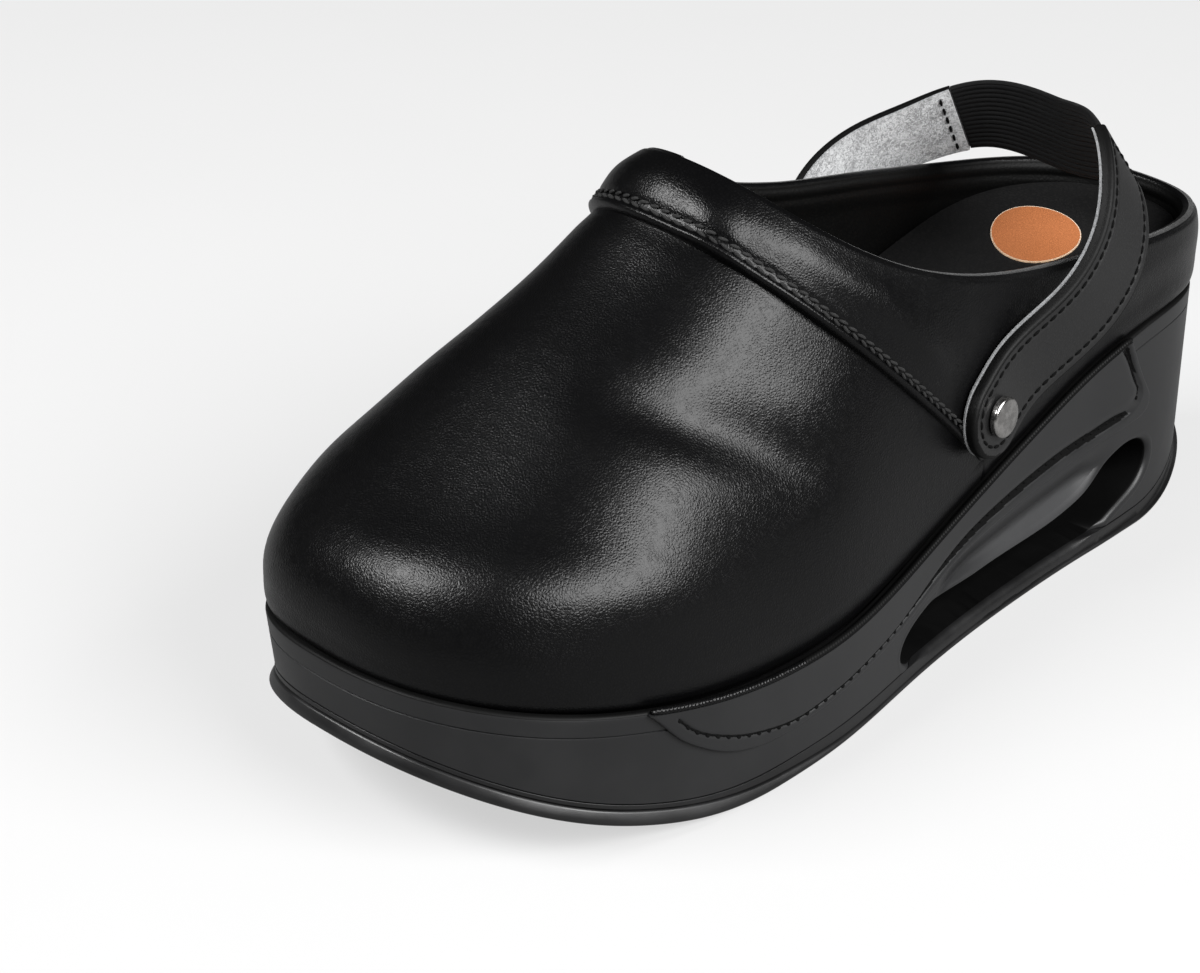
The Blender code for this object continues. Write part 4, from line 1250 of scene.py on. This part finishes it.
def makePiping(name, side):
    s = np.linspace(panelSewn[0, 0], panelSewn[-1, 0] - 0.5, 1500)
    ring, turn = wallFrame(s, side)
    centre = np.column_stack([ring + turn * piping["out"], section["soleTop"](s) - piping["drop"]])
    run = runOf(centre)
    wanted = np.arange(0, run[-1], piping["step"])
    centre = atRuns(run, centre, wanted)
    out = np.column_stack([atRuns(run, turn, wanted), 0 * wanted])
    up = unit(np.cross(np.gradient(centre, axis=0), out) * side)
    up *= np.sign(up[:, 2:])
    ends = np.clip(np.minimum(wanted, run[-1] - wanted) / piping["endTaper"], 0, 1)
    thick = piping["radius"] * (piping["endShare"] + (1 - piping["endShare"]) * np.sqrt(ends))
    points = []
    for angle in np.linspace(0, 2 * math.pi, piping["segments"], endpoint=False):
        twist = np.sin(2 * math.pi * wanted / piping["pitch"] + 2 * angle)
        radius = thick * (1 + piping["ribHeight"] * twist)
        points.append(centre + radius[:, None] * (out * math.cos(angle) + up * math.sin(angle)))
    points = np.array(points)
    index = numbered(points)
    faces = gridFaces(index, closedRows=True) + [index[:, 0].tolist(), index[::-1, -1].tolist()]
    shaded = (flip(centre[:-1, 1]) < piping["shadedTo"]).astype(int)
    material = np.concatenate([np.tile(shaded, piping["segments"]), (1, 0)])
    piece = makePiece(name, points, faces, ("upper", "slotShade"), material, sharpAngle=70)
    settle(piece, "platform_foam", "sole")


makePlatform()
makeSlotLiner()
for sideName, side in (("Lateral", 1), ("Medial", -1)):
    makePanel("panel" + sideName, side)
    makePiping("piping" + sideName, side)
makePanelStitches()

# The outsole: a thin foot with a flared lip, thicker under the forefoot, and a shallow tread
outsole = {
    "columns": 300,
    "rungs": 61,
    "underInset": (-3.0, -0.4),
    "topInset": -4.0,
    "wallProud": 0.1,
    "lipThin": 1.2,
    "lipThick": 3.1,
    "lipRun": (150.0, 220.0),
    "lipRound": (0.8, 0.7),
    "lipStart": 0.85,
    "lipLess": 1.0,
    "lipStep": 0.35,
    "lipRows": (0.15, 0.4, 0.7, 0.92, 1.0),
    "lipPower": 1.4,
    "flare": 0.5,
    "flareFront": 0.9,
    "flareFrontRun": (140.0, 210.0),
    "flareHeel": 0.8,
    "flareHeelRun": (48.0, 18.0),
    "flareTuck": 0.9,
    "grooveDepth": 0.5,
    "grooveLoss": 0.7,
    "grooveLossRun": (140.0, 100.0),
    "grooveRows": (0.02, 0.12, 0.3, 0.45),
    "crown": 0.1,
    "slotCrown": 2.2,
    "slotStart": (52.0, 62.0),
    "slotEnd": (131.0, 123.0),
    "treadDepth": 0.9,
    "treadPitch": 9.0,
    "treadWave": 4.0,
    "treadWaveLength": 7.0,
    "treadMargin": 0.08,
    "treadGroove": (0.2, 0.12),
}


def outsoleRows(s, side):
    # lift and height of each ring, from under the sole up to its top
    part = outsole
    floor = soleBottom(s)
    lip = part["lipThin"] + (part["lipThick"] - part["lipThin"]) * ramp(s, *part["lipRun"])
    narrow = toeMedial(s, side)
    heel = platform["heelSwell"] * heelCorner(s, side)
    flare = part["flare"] + part["flareFront"] * ramp(s, *part["flareFrontRun"])
    flare = flare + part["flareHeel"] * ramp(s, *part["flareHeelRun"]) - part["flareTuck"] * narrow + heel
    wall = part["wallProud"] - platform["toeDraftLow"] * narrow + heel
    groove = part["grooveDepth"] * (1 - part["grooveLoss"] * ramp(s, *part["grooveLossRun"]))
    rows = [(inset + 0 * s, floor) for inset in part["underInset"]]
    out, up = part["lipRound"]
    rows += [(flare - out * (1 - math.sin(a)), floor + up * (1 - math.cos(a)))
             for a in np.linspace(0.2, math.pi / 2, 5)]
    rows += [(flare + (wall + part["lipStep"] - flare) * share ** part["lipPower"],
              floor + part["lipStart"] + (lip - part["lipLess"]) * share) for share in part["lipRows"]]
    grooveLifts = (wall + part["wallProud"], wall - groove, wall - groove, wall)
    rows += [(lift, floor + lip + rise) for lift, rise in zip(grooveLifts, part["grooveRows"])]
    crown = part["crown"] + part["slotCrown"] * (ramp(s, *part["slotStart"]) * ramp(s, *part["slotEnd"]))
    top = floor + shoe["outsoleThickness"]
    rows += [(wall - crown * (1 - math.cos(a)), top - crown * (1 - math.sin(a)))
             for a in np.linspace(0, math.pi / 2, 8)]
    return rows + [(part["topInset"] + 0 * s, top)]


def makeOutsole():
    s, side = loopOf(evenStations(0, shoe["length"], outsole["columns"]))
    points = stackRings(*planLoop(s, side), outsoleRows(s, side))
    index = numbered(points)
    faces = gridFaces(index, closedColumns=True) + ladderFaces(index[-1])
    points = points.reshape(-1, 3)
    # tread: rungs across the sole with shallow wavy grooves
    count = len(s)
    half = count // 2
    first = index[0]
    part = np.linspace(0, 1, outsole["rungs"])[1:-1]
    lateral = points[first[1:half]]
    medial = points[first[count - 1:half:-1]]
    across = lateral[:, None] + (medial - lateral)[:, None] * part[None, :, None]
    wave = across[..., 1] + outsole["treadWave"] * np.sin(across[..., 0] / outsole["treadWaveLength"])
    phase = np.abs((wave / outsole["treadPitch"]) % 1.0 - 0.5)
    inset = smooth(part / outsole["treadMargin"]) * smooth((1 - part) / outsole["treadMargin"])
    wide, soft = outsole["treadGroove"]
    across[..., 2] += outsole["treadDepth"] * smooth((wide - phase) / soft) * inset
    inner = len(points) + numbered(across)
    points = np.concatenate([points, across.reshape(-1, 3)])
    table = np.concatenate([first[1:half, None], inner, first[count - 1:half:-1, None]], axis=1)
    faces += gridFaces(table)
    for end, row in ((first[0], table[0]), (first[half], table[-1])):
        faces += [[end, a, b] for a, b in zip(row, row[1:])]
    piece = makePiece("treadOutsole", points, faces, ("outsole",), sharpAngle=45)
    settle(piece, "outsole_rubber", "outsole")


makeOutsole()

# The footbed and the plain oval patch on its heel
footbed = {
    "columns": 110,
    "clearance": 1.0,
    "edgeRound": 1.2,
    "edgeParts": (1.0, 0.985),
    "ringParts": (0.96, 0.04),
    "rings": 26,
    "cupPower": 2.4,
}
patch = {
    "station": 37.6,
    "across": -6.3,
    "long": 13.9,
    "wide": 10.75,
    "proud": 0.35,
    "turn": 45.0,
    "segments": 96,
    # rows by share of the size and lift
    "edgeRows": ((1.0, -0.5), (1.0, 0.6), (0.993, 0.9), (0.982, 0.95), (0.976, 0.88)),
    "topRows": ((0.96, 0.95), (0.75, 1.0), (0.6, 1.0), (0.45, 1.0), (0.3, 1.0), (0.15, 1.0), (0.04, 1.0)),
}


def spinePoints(s):
    s = np.clip(s, shoe["heelEnd"], shoe["toeStart"])
    return np.stack([section["centre"](s), flip(s)], -1)


def innerRing(s, side, height):
    widest = upperPlan(s, side, 1.0)
    ring = lastPoint(widest[:, 0], widest[:, 1])[:, :2]
    depth = shoe["bulgeHeight"] + shoe["wellDepth"] - shoe["gap"]
    part = np.clip((widestHeight(s) - height) / depth, 0, 1)
    leanIn = (1 - shareAtHeight(s, height)) * np.linalg.norm(ring - spinePoints(s), axis=1)
    inward = shoe["tuck"] * part ** shoe["tuckPower"] + leanIn + shoe["wall"] + footbed["clearance"]
    return ring - outward(ring) * inward[:, None]


def footbedTop(ring, part):
    s = flip(ring[:, 1])
    return section["footbed"](s) + section["cup"](s) * part ** footbed["cupPower"]


def makeFootbed():
    s, side = loopOf(evenStations(0, shoe["length"], footbed["columns"]))
    bottom = overWell(innerRing(s, side, section["soleTop"](s) - shoe["wellDepth"]))
    edge = section["footbed"](s) + section["cup"](s)
    rim = innerRing(s, side, edge)
    spine = spinePoints(s)
    rows = [np.column_stack([innerRing(s, side, z), z]) for z in (bottom, (bottom + edge) / 2)]
    for part in np.concatenate([footbed["edgeParts"], np.linspace(*footbed["ringParts"], footbed["rings"])]):
        ring = spine + (rim - spine) * part
        drop = footbed["edgeRound"] * (1 if part == 1.0 else 0)
        rows.append(np.column_stack([ring, footbedTop(ring, part) - drop]))
    points = np.array(rows)
    index = numbered(points)
    faces = gridFaces(index, closedColumns=True) + ladderFaces(index[0]) + ladderFaces(index[-1])
    piece = makePiece("footbed", points, faces, ("footbed",), sharpAngle=60)
    return settle(piece, "footbed_leather", "insole")


def makePatch(under):
    corners = [tuple(v.co) for v in under.data.vertices]
    tree = BVHTree.FromPolygons(corners, [tuple(f.vertices) for f in under.data.polygons])

    def footbedHeight(x, y, above=200.0):
        places = toWorld(np.column_stack([x, y, np.full(len(x), above)]))
        return np.array([tree.ray_cast(Vector(p), Vector((0, 0, -1)))[0].z for p in places]) / mm

    angles = np.linspace(0, 2 * math.pi, patch["segments"], endpoint=False)
    turn = math.radians(patch["turn"])
    rows = []
    for part, lift in patch["edgeRows"] + patch["topRows"]:
        wide, long = patch["wide"] * part * np.cos(angles), patch["long"] * part * np.sin(angles)
        x = patch["across"] + wide * math.cos(turn) + long * math.sin(turn)
        y = flip(patch["station"]) + wide * math.sin(turn) - long * math.cos(turn)
        rows.append(np.column_stack([x, y, footbedHeight(x, y) + patch["proud"] * lift]))
    points = np.array(rows)
    index = numbered(points)
    faces = gridFaces(index, closedColumns=True) + [index[-1].tolist(), index[0][::-1].tolist()]
    rowMaterial = [1] * (len(patch["edgeRows"]) - 1) + [0] * len(patch["topRows"])
    material = np.repeat(rowMaterial, len(angles)).tolist() + [0, 1]
    settle(makePiece("heelPatch", points, faces, ("patch", "patchEdge"), material), "footbed_leather")


makePatch(makeFootbed())

# The strap loop: leather straps lined with suede, and an elastic between them
strapLoop = {
    "tip": (114.2, 50.4),
    "rivet": (106.0, 56.0),
    "lead": (97.0, 61.7),
    "standoff": 0.7,
    "thickness": 3.0,
    "width": 20.0,
    "endRadius": 10.0,
    "endInset": 1.2,
    "lateralEnd": 5.0,
    "medialEnd": 7.4,
    "edgeRound": 1.1,
    "edgeBead": (0.06, 1.3, 0.8),
    "paintedEdge": 1.0,
    "liningThickness": 0.7,
    "liningWiden": (-0.3, 0.35),
    "liningEdge": (0.25, 0.6),
    "liningGap": 0.05,
    "stitchInset": 2.9,
    "stitchDip": 0.3,
    "stitchWidth": 0.45,
    "stitchProud": 0.12,
    "endStitch": 2.6,
    "endStitchProud": (0.05, 0.1),
    "endStitchPoints": 12,
    "rowEnd": 3.0,
    "step": 0.8,
    "acrossPoints": 41,
    "acrossPower": 1.15,
}
strapRows = (
    # x, station and height, tilt back and sideways in degrees, width
    (39.8, 78.8, 72.7, 46.0, 4.0, 20.0),
    (37.6, 63.0, 87.7, 47.0, 4.0, 20.0),
    (25.4, 52.1, 99.0, 36.0, 5.0, 20.0),
    (4.4, 41.6, 94.8, 18.0, 5.0, 20.8),
    (-18.3, 43.2, 94.4, 17.0, 0.0, 18.8),
    (-32.4, 54.8, 88.3, 31.0, -4.0, 19.5),
    (-38.0, 67.4, 83.5, 41.0, -4.0, 20.0),
    (-38.6, 81.5, 75.8, 44.0, -4.0, 20.0),
)
strapStitch = {"pitch": 2.6, "length": 2.2, "thickness": 0.75, "slant": 4.0}
elastic = {
    "thickness": 1.6,
    "columns": 70,
    "ribs": 15,
    "ribHeight": 0.3,
    "ribPower": 0.7,
    "edgeShare": 0.05,
    "edgeThin": 0.4,
    "acrossPoints": 121,
}


def wallPlace(station, height, side):
    place = upperPlan(np.float64(station), side, shareAtHeight(station, height))
    point = lastPoint(place[0], place[1])
    return point, lastNormal(point[None])[0]


def makeStrapPath():
    points, turns, widths = [], [], []
    tip, lead = strapLoop["tip"], strapLoop["lead"]
    climb = math.atan2(lead[1] - tip[1], tip[0] - lead[0])
    lean = np.array((0, -math.sin(climb), math.cos(climb)))

    def againstWall(side, *places):
        for station, height in places:
            point, normal = wallPlace(station, height, side)
            stand = collar["step"] + strapLoop["standoff"] + strapLoop["thickness"] / 2
            points.append(point + normal * stand)
            turns.append(lean - normal * lean.dot(normal))
            widths.append(strapLoop["width"])

    againstWall(1, tip, strapLoop["rivet"], lead)
    for x, s, z, tilt, side, width in strapRows:
        tilt, side = math.radians(tilt), math.radians(side)
        points.append(np.array((x, flip(s), z)))
        level = math.cos(side)
        turns.append(np.array((-math.sin(side), -math.sin(tilt) * level, math.cos(tilt) * level)))
        widths.append(width)
    againstWall(-1, lead, strapLoop["rivet"], tip)
    rows = np.column_stack([points, turns, widths])
    run = runOf(rows[:, :3])
    return run, spline(run, rows)


strapRun, strapPath = makeStrapPath()
lateralEnd, medialEnd = (float(np.interp(strapLoop[key], np.arange(len(strapRun)), strapRun))
                         for key in ("lateralEnd", "medialEnd"))


def strapFrames(runs, reach=0.2):
    # centre, directions across and out of the face, and half the width
    rows = strapPath(runs)
    along = unit(strapPath(runs + reach)[:, :3] - strapPath(runs - reach)[:, :3])
    across = unit(rows[:, 3:6] - along * np.sum(rows[:, 3:6] * along, 1)[:, None])
    return rows[:, :3], across, np.cross(along, across), rows[:, 6] / 2


def halfWidthAt(half, fromTip):
    reach = np.clip(strapLoop["endRadius"] - fromTip, 0, strapLoop["endRadius"]) / strapLoop["endRadius"]
    return half * np.sqrt(np.clip(1 - reach**2, 0.0004, 1))


def edgeInset(fromTip, a, half, length):
    # how far a place on the strap lies inside its outline
    radius = strapLoop["endRadius"]
    onTip = radius - np.hypot(np.clip(radius - fromTip, 0, None), a * radius / np.maximum(half, 1e-6))
    toEnd = length - fromTip + strapLoop["endInset"]
    return np.minimum(np.where(fromTip < radius, onTip, half - np.abs(a)), toEnd)


def flatFace(tip, a, half):
    return 0 * a


def bandMesh(runs, low, high, acrossCount, outerLift, innerLift, widen=(0.0, 0.0), fromTip=None):
    # closed strip between two depths; the lifts shape its outer and inner faces
    centre, across, face, half = strapFrames(runs)
    tip = np.full(len(runs), 99.0) if fromTip is None else fromTip
    width = halfWidthAt(half, tip)
    share = np.linspace(-1, 1, acrossCount)
    share = np.sign(share) * (1 - (1 - np.abs(share)) ** strapLoop["acrossPower"])
    a = share[None] * width[:, None] + np.where(share > 0, share * widen[1], share * widen[0])[None]
    grid = np.repeat(tip[:, None], acrossCount, 1), a, np.repeat(half[:, None], acrossCount, 1)
    top, under = (centre[:, None] + across[:, None] * a[..., None] + face[:, None] * level[..., None]
                  for level in (high + outerLift(*grid), low + innerLift(*grid)))
    points = np.concatenate([top, under[:, ::-1]], axis=1)
    index = numbered(points)
    return points, gridFaces(index, closedColumns=True) + capFaces(index[0]) + capFaces(index[-1]), grid


def makeStrapStitches(name, start, direction, length):
    # two rows that meet round the tip, and one across the end on both faces
    inset, radius = strapLoop["stitchInset"], strapLoop["endRadius"]
    top = strapLoop["thickness"] / 2
    angle = np.linspace(0, math.pi / 2, 16)
    tipRuns = radius - (radius - inset) * np.cos(angle)
    tipAcross = (radius - inset) * np.sin(angle)
    straight = np.arange(radius + strapLoop["step"], length - strapLoop["rowEnd"], strapLoop["step"])
    beside = np.full(len(straight), radius - inset)
    rowRuns = np.concatenate([straight[::-1], tipRuns[:0:-1], tipRuns, straight])
    rowAcross = np.concatenate([beside, tipAcross[:0:-1], -tipAcross, -beside])
    centre, across, face, half = strapFrames(start + direction * rowRuns)
    level = top - strapLoop["stitchDip"] + strapLoop["stitchProud"]
    rows = [centre + across * (rowAcross * half / radius)[:, None] + face * level]
    count = strapLoop["endStitchPoints"]
    endAcross = np.linspace(-1, 1, count) * (radius - inset)
    endRun = start + direction * (length - strapLoop["endStitch"])
    centre, across, face, half = strapFrames(np.full(count, endRun))
    for sign, proud in zip((1, -1), strapLoop["endStitchProud"]):
        rows.append(centre + across * endAcross[:, None] + face * sign * (top + proud))
    sew(name + "Stitches", rows, strapStitch, "seamShade", "strap_leather")


def makeStrap(name, node, start, end, direction):
    length = abs(end - start)
    step = strapLoop["step"]
    tipPart = strapLoop["endRadius"] * (1 - np.cos(np.linspace(0.05, math.pi / 2, 22)))
    fromTip = np.concatenate([tipPart, np.arange(tipPart[-1] + step, length - 0.2, step), [length]])
    runs = start + direction * fromTip
    top = strapLoop["thickness"] / 2
    mid = -top + strapLoop["liningThickness"]
    count = strapLoop["acrossPoints"]

    def leatherTop(tip, a, half):
        inset = edgeInset(tip, a, half, length)
        rounded = strapLoop["edgeRound"]
        edge = rounded - np.sqrt(np.clip(rounded**2 - np.clip(rounded - inset, 0, rounded) ** 2, 0, None))
        groove = strapLoop["stitchDip"] * bell(inset - strapLoop["stitchInset"], strapLoop["stitchWidth"])
        height, place, width = strapLoop["edgeBead"]
        return -edge - groove + height * bell(inset - place, width)

    points, faces, grid = bandMesh(runs, mid, top, count, leatherTop, flatFace, fromTip=fromTip)
    painted = np.ones(len(faces), int)
    cells = painted[:(len(runs) - 1) * 2 * count].reshape(len(runs) - 1, 2 * count)
    cells[:, :count - 1] = cellSum(edgeInset(*grid, length)) / 4 < strapLoop["paintedEdge"]
    piece = makePiece(name + "Leather", points, faces, ("strap", "strapEdge"), painted, sharpAngle=60)
    settle(piece, "strap_leather", node)

    def suedeTop(tip, a, half):
        depth, reach = strapLoop["liningEdge"]
        return -depth * smooth((reach - edgeInset(tip, a, half, length)) / reach)

    points, faces = bandMesh(runs, -top, mid - strapLoop["liningGap"], count, suedeTop, flatFace,
                             strapLoop["liningWiden"], fromTip)[:2]
    # painted shade: the suede that stands out from under the leather faces up into the light, so it takes the
    # darker suede
    column = np.arange(len(faces)) % (2 * count)
    edgeShade = ((column < count) | (column == 2 * count - 1)).astype(int)
    piece = makePiece(name + "Suede", points, faces, ("suede", "suedeEdgeShade"), edgeShade, sharpAngle=60)
    settle(piece, "strap_leather", node)
    makeStrapStitches(name, start, direction, length)


def makeElastic():
    runs = np.linspace(lateralEnd + shoe["gap"], medialEnd - shoe["gap"], elastic["columns"])
    half = elastic["thickness"] / 2

    def ribs(tip, a, halfWidth):
        wave = np.abs(np.sin(a / halfWidth * elastic["ribs"] * math.pi / 2))
        edge = smooth((1 - np.abs(a) / halfWidth) / elastic["edgeShare"])
        height = elastic["ribHeight"] * (wave ** elastic["ribPower"] - 1)
        return height * edge - elastic["edgeThin"] * (1 - edge)

    count = elastic["acrossPoints"]
    points, faces = bandMesh(runs, -half, half, count, ribs, lambda *place: -ribs(*place))[:2]
    piece = makePiece("heelElastic", points, faces, ("elastic",), sharpAngle=70)
    settle(piece, "ribbed_elastic", "strap_elastic")


makeStrap("strapLateral", "strap_lateral", 0.0, lateralEnd, 1)
makeStrap("strapMedial", "strap_medial", strapRun[-1], medialEnd, -1)
makeElastic()

# Rivets: a domed cap with a rolled edge, the shank and a burr inside
rivet = {
    "capRadius": 4.7,
    "capHeight": 2.1,
    "capRoll": 0.8,
    "capRim": 0.3,
    "dome": ((0.02, 0.0), (0.35, 0.02), (0.6, 0.07)),  # share of the radius, drop
    "rollInset": (0.1, 0.16),
    "rollDrop": 0.18,
    "shankRadius": 2.0,
    "burrRadius": 3.6,
    "burrHeight": 0.8,
    "burrWall": 0.5,
    "burrBevel": 0.3,
    "holeRadius": 0.1,
    "segments": 64,
}


def makeRivet(name, node, side):
    point, normal = wallPlace(*strapLoop["rivet"], side)
    seat = collar["step"] + strapLoop["standoff"] + strapLoop["thickness"] + shoe["gap"]
    top = seat + rivet["capHeight"]
    inside = -shoe["wall"] - shoe["gap"]
    cap, roll, rim = rivet["capRadius"], rivet["capRoll"], rivet["capRim"]
    shank, burr, low = rivet["shankRadius"], rivet["burrRadius"], inside - rivet["burrHeight"]
    inset, drop = rivet["rollInset"]
    profile = [(cap * share, top - fall) for share, fall in rivet["dome"]]
    profile += [(cap - roll - inset, top - drop)]
    profile += [(cap - roll + roll * math.sin(a), top - rivet["rollDrop"] - roll + roll * math.cos(a))
                for a in np.linspace(0, math.pi / 2, 7)]
    profile += [(cap, seat + rim), (cap - rim, seat), (shank, seat), (shank, inside)]
    profile += [(burr, inside), (burr, inside - rivet["burrWall"]), (burr - rivet["burrBevel"], low)]
    profile += [(rivet["holeRadius"], low)]
    angles = np.linspace(0, 2 * math.pi, rivet["segments"], endpoint=False)
    turn = np.array(Vector(normal).to_track_quat("Z", "Y").to_matrix())
    rows = [[(r * math.cos(a), r * math.sin(a), z) for a in angles] for r, z in profile]
    points = np.array(rows) @ turn.T + point
    index = numbered(points)
    faces = gridFaces(index, closedColumns=True) + [index[0].tolist(), index[-1][::-1].tolist()]
    settle(makePiece(name, points, faces, ("rivet",), sharpAngle=35), "rivet_steel", node)


makeRivet("rivetLateral", "rivet_lateral", 1)
makeRivet("rivetMedial", "rivet_medial", -1)

# Studio: a pale glowing floor, a softbox on each side, and the photo's camera
studio = {
    "floorSize": 30.0,
    "floorColour": (0.115, 0.115, 0.115),
    "floorFleck": 0.985,
    "floorGlow": 0.6,
    "mirroredGlow": 0.3,
    "worldColour": (1.0, 1.0, 1.0),
    "worldStrength": 0.03,
    "lightTarget": (0.0, -0.03, 0.06),
}
lights = (
    # name, azimuth from the toe towards the outer side, elevation, distance, width, height, power
    ("outerSoftbox", 98.0, 38.0, 1.3, 1.3, 0.6, 58.0),
    ("innerSoftbox", -23.0, 44.0, 1.3, 0.8, 0.38, 36.0),
)
photoView = {
    "azimuth": 45.42,
    "elevation": 27.28,
    "distance": 736.84,
    "target": (-16.49, -41.14, 40.0),
    "roll": 1.33,
    "focalPixels": 3348.09,
    "imageWidth": 1200,
    "sensor": 36.0,
}


def directionTo(azimuth, elevation):
    a, e = math.radians(azimuth), math.radians(elevation)
    return Vector((math.sin(a) * math.cos(e), -math.cos(a) * math.cos(e), math.sin(e)))


def makeFloor():
    material, tree, shader, where = newMaterial(
        "paleFloor", Roughness=0.7, Specular_IOR_Level=0.2, Emission_Strength=studio["floorGlow"])
    fleck = useGroup(tree, handlingGroup, where, Patches=9.0)["Mask"]
    pale = studio["floorColour"]
    mixColour(tree, shader["Base Color"], fleck, [studio["floorFleck"] * c for c in pale], pale)
    # the floor glows less in what the shoe mirrors, so that its sides stay deep black
    mirrored = addNode(tree, "ShaderNodeLightPath").outputs["Is Glossy Ray"]
    mixColour(tree, shader["Emission Color"], mirrored, (1, 1, 1), [studio["mirroredGlow"]] * 3)
    half = studio["floorSize"] / 2
    mesh = bpy.data.meshes.new("floor")
    corners = [(-half, -half, 0), (half, -half, 0), (half, half, 0), (-half, half, 0)]
    mesh.from_pydata(corners, [], [(0, 1, 2, 3)])
    mesh.materials.append(material)
    floor = addObject("floor", mesh)


def makeLights():
    world = bpy.data.worlds.new("studioWorld")
    world.use_nodes = True
    sky = world.node_tree.nodes["Background"]
    sky.inputs["Color"].default_value = (*studio["worldColour"], 1)
    sky.inputs["Strength"].default_value = studio["worldStrength"]
    bpy.context.scene.world = world
    for name, azimuth, elevation, distance, width, height, power in lights:
        lamp = bpy.data.lights.new(name, "AREA")
        lamp.shape = "RECTANGLE"
        lamp.size, lamp.size_y = width, height
        lamp.energy = power
        holder = addObject(name, lamp)
        away = directionTo(azimuth, elevation)
        holder.location = Vector(studio["lightTarget"]) + away * distance
        holder.rotation_euler = away.to_track_quat("Z", "Y").to_euler()
    bpy.context.scene.view_settings.view_transform = "Standard"


def makeCamera():
    azimuth, roll = math.radians(photoView["azimuth"]), math.radians(photoView["roll"])
    back = directionTo(photoView["azimuth"], photoView["elevation"])
    right = Vector((math.cos(azimuth), math.sin(azimuth), 0))
    up = back.cross(right)
    tiltedRight = right * math.cos(roll) + up * math.sin(roll)
    tiltedUp = up * math.cos(roll) - right * math.sin(roll)
    place = Vector(toWorld(photoView["target"])) + back * photoView["distance"] * mm
    data = bpy.data.cameras.new("photoCamera")
    data.sensor_width = photoView["sensor"]
    data.lens = photoView["focalPixels"] / photoView["imageWidth"] * photoView["sensor"]
    camera = addObject("photoCamera", data)
    turn = Matrix((tiltedRight, tiltedUp, back)).transposed().to_4x4()
    camera.matrix_world = Matrix.Translation(place) @ turn
    bpy.context.scene.camera = camera


makeFloor()
makeLights()
makeCamera()
print("studio ready")
